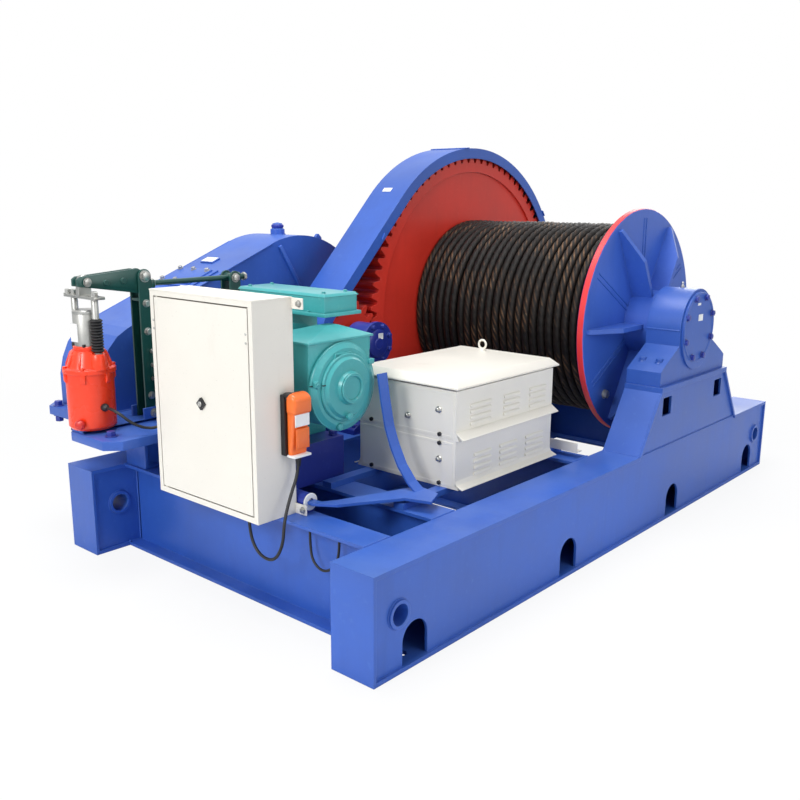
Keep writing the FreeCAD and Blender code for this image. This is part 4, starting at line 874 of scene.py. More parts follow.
def pedestal_and_tube_welds():
    """beads round the pedestals' feet, the lifting tubes and the outrigger"""
    top, foot = BEAM_TOP, PEDESTAL_HALF
    lines = []
    for side in (-1, 1):
        for x in (side * 0.7445, side * 0.921):
            lines.append(((x, DRUM_Y - foot, top), (x, DRUM_Y + foot, top)))
        for end in (-1, 1):
            lines.append(((side * 0.740, DRUM_Y + end * foot, top), (side * 0.925, DRUM_Y + end * foot, top)))
            lines.append(((side * 0.9215, DRUM_Y + end * foot, top),
                          (side * 0.9215, DRUM_Y + end * 0.3825, 0.655)))
    weld_lines("pedestal_welds", lines, 0.0055)
    rings = []
    for side in (-1, 1):
        for end in (-1, 1):
            rings.append(((side * 0.9205, end * TUBE_Y, TUBE_Z), "X", 0.052))
            rings.append(((side * 0.7445, end * TUBE_Y, TUBE_Z), "X", 0.052))
    weld_rings("lifting_tube_welds", rings, 0.0045)
    lines = []
    for number in range(4):
        start = -1.150 + 1.05 * number / 3
        for y in (start, start + 0.1):
            lines.append(((-0.931, y, 0.01), (-0.931, y, 0.38)))
    weld_lines("outrigger_welds", lines, 0.005)


def bearing_details():
    for side, word in ((1, "right"), (-1, "left")):
        axis = "X" if side > 0 else "-X"
        places = circle_places((side * 0.920, DRUM_Y, DRUM_Z), axis, 0.156, 8, math.radians(22.5))
        bolts("bearing_cover_bolts_" + word, "dark_blue", places, 0.026, 0.014)
        spun("bearing_cover_rim_" + word, "blue",
             [(0, 0.158), (0.004, 0.165), (0.004, 0.172), (0, 0.1745)],
             facing((side, 0, 0), (side * 0.9195, DRUM_Y, DRUM_Z)), 48, hollow=True)
        bosses, heads = [], []
        for end in (-1, 1):
            for x in (0.780, 0.865):
                boss = turned([(0.740, 0.026), (0.784, 0.025), (0.788, 0.022)], 20)
                bosses.append(moved(boss, Matrix.Translation((side * x, DRUM_Y + end * 0.298, 0))))
                heads.append(facing((0, 0, 1), (side * x, DRUM_Y + end * 0.298, 0.788)))
        settle(joined(bosses), "bearing_bolt_bosses_" + word, "blue", "root")
        bolts("bearing_bolts_" + word, "blue", heads, 0.030, 0.016)
        near, far = sorted((side * 0.7345, side * 0.9105))
        seam = joined([block((near, DRUM_Y + first, DRUM_Z - 0.004), (far, DRUM_Y + last, DRUM_Z + 0.004))
                       for first, last in ((-0.1925, -0.186), (0.186, 0.1925))])
        bevel(seam, 0.0015, 1)
        settle(seam, "bearing_seam_" + word, "blue", "root")
        spun("grease_nipple_" + word, "grey_steel",
             [(0, 0.010), (0.010, 0.010), (0.012, 0.006), (0.020, 0.005), (0.024, 0.007), (0.030, 0.004)],
             Matrix.Translation((side * 0.82, DRUM_Y, DRUM_Z + 0.1885)), 12)
    label("bearing_label", (0.9198, 0.652, 0.962), (0.9215, 0.702, 0.994), (1, 0, 0))
    label("bearing_small_label", (0.9198, 0.632, 1.040), (0.9212, 0.668, 1.052), (1, 0, 0))


def flange_details():
    places = [facing((1, 0, 0), (0.600, DRUM_Y + y, DRUM_Z + z)) for y,
              z in ((-0.210, -0.420), (-0.330, -0.330), (0.330, -0.340), (0.140, -0.470))]
    bolts("rope_clamp_bolts", "grey_steel", places, 0.034, 0.020, "drum")
    hub, reach = 0.170, 0.530
    lines = []
    for number in range(6):
        angle = math.radians(-90 + 60 * number)
        way = Vector((0, math.cos(angle), math.sin(angle)))
        across = Vector((0, -way.z, way.y)) * 0.0125
        middle = Vector((0.6005, DRUM_Y, DRUM_Z))
        for sign in (-1, 1):
            lines.append((middle + way * hub + across * sign, middle + way * reach + across * sign))
    weld_lines("flange_rib_welds", lines, 0.005, "drum")


def pinion_details():
    places = circle_places((-0.300, PINION_Y, SHAFT_Z), "X", 0.090, 8, math.radians(22.5))
    bolts("pinion_bearing_bolts", "dark_blue", places, 0.020, 0.012)
    spun("pinion_bearing_cap", "dark_blue",
         [(0, 0.070), (0.006, 0.070), (0.010, 0.062), (0.010, 0.030), (0.013, 0.026)],
         facing((1, 0, 0), (-0.3003, PINION_Y, SHAFT_Z)), 32)
    label("pinion_bearing_label", (-0.3002, -0.356, 0.856), (-0.2885, -0.322, 0.886), (1, 0, 0))
    places = [facing((0, 0, 1), (x, PINION_Y + end * 0.125, 0.4125)) for x in (-0.405, -0.345)
              for end in (-1, 1)]
    bolts("pinion_stand_bolts", "dark_blue", places, 0.030, 0.020)
    places = circle_places((-0.775, PINION_Y, SHAFT_Z), "X", 0.122, 8)
    bolts("coupling_bolts", "grey_steel", places, 0.024, 0.016, "pinion")


def guard_details():
    def on_guard(degrees, x, radius):
        angle = math.radians(degrees)
        way = Vector((0, math.cos(angle), math.sin(angle)))
        return facing(way, Vector((x, DRUM_Y, DRUM_Z)) + way * radius)

    for word, degrees in (("first", 152), ("second", 96), ("third", 36)):
        strap = block((-0.128, -0.020, -0.001), (0.128, 0.020, 0.005))
        bevel(strap, 0.002, 1)
        settle(moved(strap, on_guard(degrees, -0.590, 0.894)), "guard_band_%s" % word, "blue", "root")
    tag = block((-0.030, -0.014, -0.0005), (0.030, 0.014, 0.0015))
    sink(tag, lambda centre, normal: normal.z > 0.9, 0.003, 0.0004)
    bevel(tag, 0.0005, 1)
    settle(moved(tag, on_guard(132.7, -0.607, 0.8945)), "guard_label", "label", "root")


# ------------------------------------------------------------------ gearbox

LID_SLOPE = math.radians(22)
LID_UP = Vector((0, -math.sin(LID_SLOPE), math.cos(LID_SLOPE)))
LID_DOWN = Vector((0, -math.cos(LID_SLOPE), -math.sin(LID_SLOPE)))
LID_CROWN = Vector((0, PINION_Y, SHAFT_Z)) + LID_UP * 0.515


def slope_plate(name, x, first, last, thick, finish="blue", rounding=0.003):
    """a plate on the sloped lid, between two distances down from its crown"""
    piece = block((x[0], first, 0), (x[1], last, thick))
    bevel(piece, rounding)
    piece.data.transform(Matrix.Diagonal((-1, 1, 1, 1)))
    piece.data.flip_normals()
    turn = Matrix((Vector((-1, 0, 0)), LID_DOWN, LID_UP)).transposed().to_4x4()
    turn.translation = LID_CROWN
    return settle(moved(piece, turn), name, finish, "root")


def lid_details():
    """inspection cover and blank name plate on the sloped lid"""
    slope_plate("inspection_flange", (-1.205, -0.900), 0.335, 0.520, 0.008)
    slope_plate("inspection_cover", (-1.185, -0.925), 0.350, 0.505, 0.016)
    heads = [facing(LID_UP, Vector((x, 0, 0)) + LID_CROWN + LID_DOWN * along + LID_UP * 0.016)
             for x in (-1.165, -1.055, -0.945) for along in (0.368, 0.487)]
    bolts("inspection_bolts", "grey_steel", heads, 0.020, 0.012)
    slope_plate("name_plate_pad", (-1.140, -1.040), 0.205, 0.262, 0.007)
    slope_plate("name_plate", (-1.135, -1.045), 0.210, 0.257, 0.009, "label", 0.0008)


def bearing_caps():
    """bolted caps over the output, input and middle shafts, on both walls"""
    big = [(0, 0.185), (0.016, 0.180), (0.018, 0.176)]
    small = [(0, 0.115), (0.014, 0.110), (0.016, 0.106)]
    middle = [(0, 0.135), (0.014, 0.130), (0.016, 0.126), (0.016, 0.060), (0.022, 0.054)]
    ends = {"right": (big + [(0.018, 0.118), (0.010, 0.112), (0, 0.112)], small
                      + [(0.016, 0.045), (0, 0.045)]),
            "left": (big + [(0.018, 0.110), (0.026, 0.104), (0.026, 0.040), (0.022, 0.036)], small
                     + [(0.016, 0.060), (0.022, 0.054)])}
    for side, word, x in ((1, "right", WALL_RIGHT), (-1, "left", WALL_LEFT)):
        output, inlet = ends[word]
        for name, profile, (y, z), vertices, lift, ring, count, start, across, height in (
                ("output", output, (PINION_Y, SHAFT_Z), 48, 0.0175, 0.150, 8, 22.5, 0.026, 0.016),
                ("input", inlet, (MOTOR_Y, MOTOR_Z), 40, 0.0155, 0.090, 6, 0, 0.020, 0.013),
                ("middle", middle, (-0.820, 0.815), 40, 0.0155, 0.108, 6, 0, 0.020, 0.013)):
            spun("%s_bearing_cap_%s" % (name, word), "blue", profile,
                 facing((side, 0, 0), (x - side * 0.0005, y, z)), vertices,
                 hollow=side > 0 and name != "middle")
            places = circle_places((x + side * lift, y, z), "X" if side > 0 else "-X", ring, count,
                                   math.radians(start))
            bolts("%s_cap_bolts_%s" % (name, word), "dark_blue", places, across, height)


def gearbox_seams():
    """the cast ridge on the right wall and the beads along lid and base"""
    face = WALL_RIGHT
    ridge = block((face - 0.004, -0.010, 0), (face + 0.014, 0.010, 1))
    start, end = Vector((0, -0.495, 1.300)), Vector((0, -0.322, 1.020))
    ridge.data.transform(Matrix.Diagonal((1, 1, (end - start).length, 1)))
    bevel(ridge, 0.003)
    turn = Matrix.Rotation(math.atan2(-(end - start).y, (end - start).z), 4, "X")
    settle(moved(ridge, Matrix.Translation(start) @ turn), "gearbox_ridge", "blue", "root")
    lines = []
    for x in (WALL_RIGHT + 0.0005, WALL_LEFT - 0.0005):
        lines.append(((x, PINION_Y + 0.505, 0.591), (x, -1.545, 0.591)))
        crown = Vector((x, 0, 0)) + LID_CROWN - LID_UP * 0.002
        lines.append((crown, crown + LID_DOWN * 0.905))
    weld_lines("gearbox_welds", lines, 0.0055)


def gearbox_bolts():
    """heads above and nuts below the gearbox flange"""
    places = [(x, -1.36 + 0.2 * number) for x in (-0.815, -1.245) for number in range(8)]
    places += [(-1.180, -1.592), (-1.035, -1.592), (-0.890, -1.592), (-0.500, -1.730), (-0.500, -1.010)]
    heads = [facing((0, 0, 1), (x, y, 0.590)) for x, y in places]
    bolts("gearbox_flange_bolts", "dark_blue", heads, 0.034, 0.022)
    heads = [facing((0, 0, -1), (x, y, 0.550)) for x, y in places if x < -0.6]
    bolts("gearbox_flange_nuts", "dark_blue", heads, 0.034, 0.030)


def gearbox_fittings():
    """lifting lugs, drain plug, level glass and breather"""
    lugs = []
    for x in (-1.175, -0.895):
        lug = block((x - 0.008, -0.026, -0.02), (x + 0.008, 0.026, 0.036))
        cut_off(lug, (x, 0.026, 0.016), (0, 1, 1))
        cut_off(lug, (x, -0.026, 0.016), (0, -1, 1))
        bevel(lug, 0.003)
        lugs.append(moved(lug, Matrix.Translation((0, PINION_Y + 0.16, SHAFT_Z + 0.482))))
    settle(joined(lugs), "gearbox_lifting_lugs", "blue", "root")
    spun("oil_drain_plug", "grey_steel",
         [(0, 0.022), (0.010, 0.022), (0.012, 0.016), (0.024, 0.015), (0.026, 0.010)],
         facing((1, 0, 0), (-0.8755, -0.55, 0.470)), 6)
    spun("oil_level_glass", "black",
         [(0, 0.026), (0.008, 0.026), (0.012, 0.022), (0.010, 0.015), (0.008, 0.004)],
         facing((-1, 0, 0), (-1.1945, -0.55, 0.500)), 24)
    spun("breather_cap", "dark_blue",
         [(0, 0.030), (0.006, 0.033), (0.016, 0.033), (0.020, 0.028), (0.020, 0.012), (0.024, 0.008)],
         Matrix.Translation((-1.035, PINION_Y, SHAFT_Z + 0.5485)), 16)


# ------------------------------------------------------------------ brake

def brake_arm(word, side):
    """two plates with a web between them and the curved shoe on the wheel"""
    x, middle, foot = BRAKE_X, BRAKE_REAR if side > 0 else BRAKE_FRONT, 0.624
    head = LEVER_PIN if side < 0 else LEVER_PIN - 0.034
    corners = [(middle - 0.030, foot - 0.020), (middle + 0.030, foot - 0.020)]
    for step in range(13):
        angle = math.pi * step / 12
        corners.append((middle + 0.030 * math.cos(angle), head + 0.030 * math.sin(angle)))
    pieces = []
    for near in (-0.037, 0.027):
        plate_piece = prism(corners, "X", x + near, x + near + 0.010)
        bevel(plate_piece, 0.0012, 1)
        pieces.append(plate_piece)
    back = sorted((middle + side * -0.030, middle + side * -0.018))
    pieces.append(block((x - 0.027, back[0], 0.650), (x + 0.027, back[1], head - 0.092)))
    shoe = turned([(-0.065, 0.2005), (-0.065, 0.234), (0.065, 0.234), (0.065, 0.2005)], 96, hollow=True)
    moved(shoe, facing((1, 0, 0), (x, MOTOR_Y, MOTOR_Z)))
    cut_off(shoe, (x, MOTOR_Y + side * 0.150, MOTOR_Z), (0, -side, 0))
    cut_off(shoe, (x, MOTOR_Y, MOTOR_Z + 0.118), (0, 0, 1))
    cut_off(shoe, (x, MOTOR_Y, MOTOR_Z - 0.118), (0, 0, -1))
    pieces.append(shoe)
    if side > 0:
        bar = turned([(-0.037, 0.017), (-0.034, 0.020), (0.034, 0.020), (0.037, 0.017)], 24)
        pieces.append(moved(bar, facing((1, 0, 0), (x, middle, LEVER_PIN - 0.035))))
    arm = settle(joined(pieces), "brake_arm_%s_plates" % word, "green", "root")
    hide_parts("brake_arm_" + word)


def brake_arms():
    brake_arm("front", -1)
    brake_arm("rear", 1)


def brake_lever():
    """two lever plates with their pivots, from the front arm to the thruster"""
    x, pin, front = BRAKE_X, LEVER_PIN, BRAKE_FRONT
    far, end = THRUSTER_Y, LEVER_EYE
    corners = [(far - 0.038, end - 0.016), (far + 0.014, end - 0.024), (front - 0.030, pin - 0.070),
               (front + 0.006, pin - 0.058), (front + 0.024, pin - 0.010), (front + 0.024, pin + 0.008),
               (front + 0.008, pin + 0.024), (front - 0.036, pin + 0.032), (far - 0.024, end + 0.022),
               (far - 0.038, end + 0.012)]
    plates = []
    for near in (-0.025, 0.013):
        sheet = prism(corners, "X", x + near, x + near + 0.012)
        bevel(sheet, 0.0015, 2)
        plates.append(sheet)
    for at_y, at_z, size in ((far, end, 0.012), (front - 0.096, pin - 0.014, 0.013),
                             (front - 0.176, pin - 0.018, 0.013), (front, pin, 0.0125)):
        pivot = turned([(-0.034, size - 0.002), (-0.032, size), (0.032, size), (0.034, size - 0.002)], 20)
        plates.append(moved(pivot, facing((1, 0, 0), (x, at_y, at_z))))
    lever = settle(joined(plates), "lever_plates", "green", "lever")
    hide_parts("brake_lever")


def brake_stand():
    """the box under the wheel and the shelf under the whole brake"""
    x, rear = BRAKE_X, BRAKE_REAR
    stand = block((x - 0.075, -1.527, 0.385), (x + 0.075, rear - 0.030, 0.550))
    sink(stand, lambda centre, normal: abs(normal.x) > 0.9, 0.018, 0.006)
    bevel(stand, 0.003)
    settle(stand, "brake_stand_box", "blue", "root")
    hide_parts("brake_stand")
    shelf = prism([(-0.795, 0.550), (-0.400, 0.550), (-0.400, 0.590), (-0.795, 0.590)], "Y", -1.797, -0.980)
    cut_off(shelf, (-0.795, -1.700, 0.57), (-1, -1.0, 0))
    cut_off(shelf, (-0.400, -1.740, 0.57), (1, -1.0, 0))
    bevel(shelf, 0.003)
    settle(shelf, "brake_shelf", "blue", "root")


def brake_channel():
    """the open channel that the two arms stand in"""
    x, front, rear = BRAKE_X, BRAKE_FRONT, BRAKE_REAR
    walls = [block((x - 0.051, -1.789, 0.590), (x + 0.051, -0.930, 0.602))]
    for side in (-1, 1):
        for first, last, top in ((-1.789, front - 0.050, 0.604), (front - 0.050, front + 0.060, 0.650),
                                 (rear - 0.060, rear + 0.042, 0.650)):
            low_x, high_x = sorted((x + side * 0.039, x + side * 0.051))
            walls.append(block((low_x, first, 0.592), (high_x, last, top)))
    channel = joined(walls)
    bevel(channel, 0.0015, 1)
    settle(channel, "brake_channel", "blue", "root")
    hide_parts("brake_base")


def brake_fasteners():
    """nuts, spacers, yoke and rivets of the arms, and the channel's bolts"""
    x, y, pin, arm = BRAKE_X, MOTOR_Y, LEVER_PIN, ARM_HALF
    front, rear = BRAKE_FRONT, BRAKE_REAR
    places = [facing((side, 0, 0), (x + side * arm, front, pin)) for side in (-1, 1)]
    bolts("lever_pin_nuts", "grey_steel", places, 0.036, 0.018)
    places = [facing((side, 0, 0), (x + side * arm, rear, pin - 0.035)) for side in (-1, 1)]
    bolts("tie_pin_nuts", "grey_steel", places, 0.030, 0.014)
    places = [facing((side, 0, 0), (x + side * 0.051, end_y, 0.624)) for side in (-1, 1)
              for end_y in (front, rear)]
    bolts("arm_foot_nuts", "grey_steel", places, 0.028, 0.016)
    heads = []
    for end_y, heights in ((front, (1.100, 0.980, 0.700)), (rear, (1.080, 0.980, 0.700))):
        for z in heights:
            for side in (-1, 1):
                heads.append(facing((side, 0, 0), (x + side * (arm - 0.001), end_y, z)))
    bolts("arm_spacer_bolts", "grey_steel", heads, 0.024, 0.014)
    plate("front_arm_gusset", "green", (x - 0.027, front - 0.029, 1.110),
          (x + 0.027, front + 0.029, 1.122), 0.003)
    plate("tie_yoke", "green", (x - arm, front + 0.031, pin - 0.052),
          (x + arm, front + 0.050, pin - 0.018), 0.003)
    nuts = [facing((0, 1, 0), (x, rear + 0.0715, pin - 0.035)),
            facing((0, 1, 0), (x, front + 0.050, pin - 0.035))]
    bolts("tie_rod_nuts", "grey_steel", nuts, 0.034, 0.014, washer=False)
    lining = []
    for end_y in (-1, 1):
        for z in (-0.06, 0.0, 0.06):
            for dx in (-0.050, 0.050):
                lining.append(facing((0, end_y, 0.25 * z), (x + dx, y + end_y * 0.2335, MOTOR_Z + z)))
    bolts("shoe_rivets", "grey_steel", lining, 0.016, 0.006, washer=False)
    places = [facing((0, 0, 1), (x + dx, dy, 0.602)) for dx in (-0.020, 0.020)
              for dy in (-1.330, -1.212, -1.100)]
    bolts("channel_bolts", "grey_steel", places, 0.024, 0.014)


def thruster_tank():
    """the round tank with its rim and neck, and the motor on top"""
    x, y, radius = BRAKE_X, THRUSTER_Y, 0.096
    base, rim, neck, top = TANK_BASE, TANK_RIM, TANK_NECK, TANK_TOP
    spun("thruster_tank", "orange_red",
         [(base, radius - 0.010), (base + 0.012, radius), (rim - 0.012, radius),
          (rim - 0.012, radius + 0.008), (rim - 0.010, radius + 0.010), (rim + 0.006, radius + 0.010),
          (rim + 0.008, radius + 0.008), (rim + 0.012, radius - 0.004), (rim + 0.030, radius - 0.012),
          (neck - 0.010, radius - 0.024), (neck, radius - 0.030)], Matrix.Translation((x, y, 0)), 64)
    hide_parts("thruster_body")
    spun("thruster_motor", "grey_steel",
         [(neck, 0.050), (top - 0.008, 0.050), (top - 0.002, 0.047), (top, 0.042)],
         Matrix.Translation((x, y, 0)), 48)
    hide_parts("thruster_cylinder")


def push_rods():
    """the two rods, the bridge across them and the eye for the lever"""
    x, y, rim = BRAKE_X, THRUSTER_Y, TANK_RIM
    parts = []
    for side in (-1, 1):
        push = turned([(rim + 0.010, 0.014), (LEVER_EYE - 0.062, 0.014), (LEVER_EYE - 0.058, 0.012)], 24)
        parts.append(moved(push, Matrix.Translation((x + side * ROD_APART, y, 0))))
    cross = block((x - 0.118, y - 0.025, LEVER_EYE - 0.065), (x + 0.118, y + 0.025, LEVER_EYE - 0.053))
    bevel(cross, 0.002)
    corners = [(y - 0.030, LEVER_EYE - 0.056), (y + 0.030, LEVER_EYE - 0.056)]
    for step in range(11):
        angle = math.pi * step / 10
        corners.append((y + 0.026 * math.cos(angle), LEVER_EYE + 0.004 + 0.024 * math.sin(angle)))
    eye = prism(corners, "X", x - 0.012, x + 0.012)
    bevel(eye, 0.002, 1)
    settle(joined(parts + [cross, eye]), "thruster_push_rods", "grey_steel", "push_rod")
    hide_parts("thruster_rod")


def rod_gaiters():
    """a bellows on one rod, a plain sleeve on the other, and the shoulders under them"""
    x, y, rim, neck = BRAKE_X, THRUSTER_Y, TANK_RIM, TANK_NECK
    bellows = []
    for side in (-1, 1):
        at = Matrix.Translation((x + side * ROD_APART, y, 0))
        sleeve = [(neck - 0.006, 0.016)]
        if side > 0:
            height = neck
            while height < neck + 0.128:
                sleeve += [(height, 0.0235), (height + 0.004, 0.0265), (height + 0.008, 0.0235),
                           (height + 0.010, 0.0205)]
                height += 0.012
            sleeve += [(height, 0.0175)]
        else:
            sleeve += [(neck, 0.024), (neck + 0.020, 0.024), (neck + 0.024, 0.0175), (neck + 0.060, 0.0168)]
        inner = [(sleeve[-1][0], 0.0146), (sleeve[0][0], 0.0146)]
        bellows.append(moved(turned(sleeve + inner, 24, hollow=True), at))
    settle(joined(bellows), "rod_gaiters", "rubber", "root")
    caps = []
    for side in (-1, 1):
        cap = turned([(rim + 0.006, 0.036), (rim + 0.040, 0.033), (neck - 0.016, 0.030),
                      (neck - 0.010, 0.026), (neck - 0.010, 0.0165), (rim + 0.006, 0.0165)], 24, hollow=True)
        caps.append(moved(cap, Matrix.Translation((x + side * ROD_APART, y, 0))))
    settle(joined(caps), "rod_shoulders", "orange_red", "root")


def thruster_fasteners():
    """bolts of the bridge and the eye, the motor's cap and foot, and its blank plate"""
    x, y, neck, top = BRAKE_X, THRUSTER_Y, TANK_NECK, TANK_TOP
    bridge = LEVER_EYE - 0.053
    places = [facing((0, 0, 1), (x + side * ROD_APART, y, bridge)) for side in (-1, 1)]
    places += [facing((0, 0, 1), (x + side * 0.104, y - 0.012, bridge)) for side in (-1, 1)]
    bolts("bridge_bolts", "grey_steel", places, 0.024, 0.018, "push_rod")
    places = [facing((side, 0, 0), (x + side * 0.034, y, LEVER_EYE)) for side in (-1, 1)]
    bolts("eye_pin_ends", "grey_steel", places, 0.026, 0.008, "lever")
    spun("thruster_motor_cap", "grey_steel",
         [(top - 0.004, 0.052), (top + 0.006, 0.052), (top + 0.012, 0.046), (top + 0.014, 0.018)],
         Matrix.Translation((x, y, 0)), 32)
    spun("thruster_motor_foot", "orange_red",
         [(neck - 0.002, 0.058), (neck + 0.014, 0.058), (neck + 0.018, 0.054), (neck + 0.018, 0.0504),
          (neck - 0.002, 0.0504)], Matrix.Translation((x, y, 0)), 32, hollow=True)
    places = circle_places((x, y, neck + 0.016), "Z", 0.0535, 4, math.radians(45))
    bolts("thruster_motor_bolts", "black", places, 0.012, 0.010, washer=False)
    plate("thruster_blank_plate", "label", (x - 0.034, y - 0.0515, 0.965),
          (x + 0.018, y - 0.0475, 1.040), 0.0008, 1, rim=0.003, depth=0.0005, face=(0, -1, 0))


def tank_fittings():
    """lugs and bolts of the rim, ribs of the neck, cable gland and drain plug"""
    x, y, rim, neck = BRAKE_X, THRUSTER_Y, TANK_RIM, TANK_NECK
    ribs = []
    for number in range(6):
        angle = math.radians(15 + 60 * number)
        rib = block((0.088, -0.010, rim - 0.052), (0.1045, 0.010, rim - 0.008))
        cut_off(rib, (0.1045, 0, rim - 0.040), (1, 0, -0.55))
        bevel(rib, 0.0025)
        ribs.append(moved(rib, Matrix.Translation((x, y, 0)) @ Matrix.Rotation(angle, 4, "Z")))
    settle(joined(ribs), "flange_lugs", "orange_red", "root")
    places = circle_places((x, y, rim + 0.0085), "Z", 0.0985, 6, math.radians(15))
    bolts("thruster_flange_bolts", "orange_red", places, 0.015, 0.009, washer=False)
    ribs = []
    for number in range(10):
        angle = math.radians(36 * number + 18)
        rib = block((0.050, -0.004, rim + 0.010), (0.092, 0.004, neck - 0.004))
        cut_off(rib, (0.097, 0, rim + 0.012), (1, 0, 0.39))
        bevel(rib, 0.002)
        ribs.append(moved(rib, Matrix.Translation((x, y, 0)) @ Matrix.Rotation(angle, 4, "Z")))
    settle(joined(ribs), "tank_neck_ribs", "orange_red", "root")
    spun("thruster_gland_nut", "black",
         [(-0.030, 0.016), (0, 0.0165), (0.012, 0.0165), (0.014, 0.013), (0.020, 0.011), (0.0245, 0.0068),
          (0.0245, 0.0062), (-0.030, 0.0062)], facing((1, 0, 0), (x + 0.094, y, 0.700)), 12, hollow=True)
    spun("drain_plug", "red_plastic",
         [(0, 0.010), (0.004, 0.017), (0.012, 0.021), (0.022, 0.021), (0.030, 0.016), (0.034, 0.008)],
         facing((0.55, -0.83, 0), (x + 0.052, y - 0.079, 0.636)), 20)


# ------------------------------------------------------------------ motor

def stator_details():
    """cooling fins, drive end shield, feet and lifting eye"""
    y, z = MOTOR_Y, MOTOR_Z
    fins = []
    for number in range(40):
        angle = math.radians(9 * number + 4.5)
        if -128 < math.degrees(math.atan2(math.sin(angle), math.cos(angle))) < -52:
            continue
        if 40 < math.degrees(angle) < 112:
            continue
        fin = block((-0.325, -0.0035, 0.226), (-0.012, 0.0035, 0.246))
        turn = Matrix.Translation((0, y, z)) @ Matrix.Rotation(angle - math.pi / 2, 4, "X")
        fins.append(moved(fin, turn))
    fins = joined(fins)
    bevel(fins, 0.0012, 1)
    settle(fins, "stator_fins", "teal", "root")
    places = circle_places((-0.370, y, z), "-X", 0.196, 8, math.radians(22.5))
    bolts("drive_end_bolts", "teal", places, 0.022, 0.014)
    spun("drive_end_shield", "teal",
         [(0, 0.150), (0.012, 0.146), (0.014, 0.142), (0.014, 0.060), (0.008, 0.050), (0, 0.050)],
         facing((-1, 0, 0), (-0.3995, y, z)), 40, hollow=True)
    places = [facing((0, 0, 1), (px, y + side * 0.198, 0.650)) for px in (-0.290, -0.050) for side in (-1, 1)]
    bolts("motor_foot_bolts", "grey_steel", places, 0.034, 0.024)
    deselect()
    bpy.ops.mesh.primitive_torus_add(major_radius=0.028, minor_radius=0.008, major_segments=24,
                                     minor_segments=10, location=(-0.355, y - 0.02, z + 0.254),
                                     rotation=(math.pi / 2, 0, 0))
    eye = bpy.context.object
    bpy.ops.object.transform_apply(location=True, rotation=True)
    stem = moved(turned([(0, 0.020), (0.008, 0.020), (0.012, 0.012), (0.018, 0.010)], 16),
                 Matrix.Translation((-0.355, y - 0.02, z + 0.214)))
    settle(joined([eye, stem]), "motor_lifting_eye", "teal", "root")


def terminal_box():
    """neck, flange, case and lid, with screws and glands"""
    y = MOTOR_Y
    left, right, near, wide, under = -0.310, 0.205, -1.200, 0.180, 1.104
    neck = block((left + 0.030, near + 0.020, 1.000), (-0.005, near + wide - 0.020, under))
    rim = block((left - 0.012, near - 0.012, under - 0.014), (right + 0.014, near + wide + 0.012, under))
    case = block((left, near, under), (right, near + wide, under + 0.062))
    lid = hipped((left - 0.006, near - 0.006, under + 0.062),
                 (right + 0.006, near + wide + 0.006, under + 0.074), (0.010, 0.010), (0.010, 0.010))
    for piece in (neck, rim, case, lid):
        bevel(piece, 0.002)
    terminals = settle(joined([neck, rim, case, lid]), "terminal_box_with_lid", "teal", "root")
    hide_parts("motor_terminal_box")
    heads = [facing((0, 0, 1), (px, py, under + 0.0735)) for px in (left + 0.035, right - 0.035)
             for py in (near + 0.030, near + wide - 0.030)]
    bolts("terminal_lid_screws", "teal", heads, 0.014, 0.007)
    heads = []
    for px in (-0.24, -0.12, 0.0, 0.12):
        heads.append(facing((0, 0, 1), (px, near - 0.006, under)))
        heads.append(facing((0, 0, 1), (px, near + wide + 0.006, under)))
    bolts("terminal_flange_bolts", "teal", heads, 0.009, 0.006, washer=False)
    glands = []
    for px in (-0.20, -0.10):
        gland = turned([(0, 0.024), (0.010, 0.024), (0.012, 0.019), (0.026, 0.019), (0.030, 0.013),
                        (0.032, 0.006)], 12)
        glands.append(moved(gland, facing((0, 1, 0), (px, near + wide - 0.0005, under + 0.030))))
    settle(joined(glands), "terminal_box_glands", "black", "root")
    places = [facing((0, 0, 1), (0.060, y + side * 0.190, 0.5605)) for side in (-1, 1)]
    bolts("motor_pad_bolts", "dark_blue", places, 0.030, 0.018)


def end_cover():
    """the stepped round cover with its raised rims"""
    y, z, face, radius = MOTOR_Y, MOTOR_Z, COVER_FACE, 0.172
    spun("end_cover_dish", "teal",
         [(0, radius - 0.006), (0.006, radius), (0.016, radius), (0.030, radius - 0.022),
          (0.030, radius - 0.044), (0.052, radius - 0.062), (0.052, radius - 0.106), (0.066, radius - 0.112)],
         facing((1, 0, 0), (face, y, z)), 96)
    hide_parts("motor_end_cover")
    spun("cover_middle_rim", "teal",
         [(0.028, 0.131), (0.034, 0.133), (0.040, 0.129), (0.040, 0.119), (0.030, 0.115)],
         facing((1, 0, 0), (face, y, z)), 64, hollow=True)
    spun("cover_inner_rim", "teal",
         [(0.0655, 0.056), (0.070, 0.060), (0.074, 0.058), (0.074, 0.048), (0.067, 0.044)],
         facing((1, 0, 0), (face, y, z)), 48, hollow=True)
    spun("cover_outer_rim", "teal",
         [(0.010, 0.1715), (0.014, 0.1735), (0.018, 0.1715), (0.018, 0.166), (0.010, 0.166)],
         facing((1, 0, 0), (face, y, z)), 64, hollow=True)


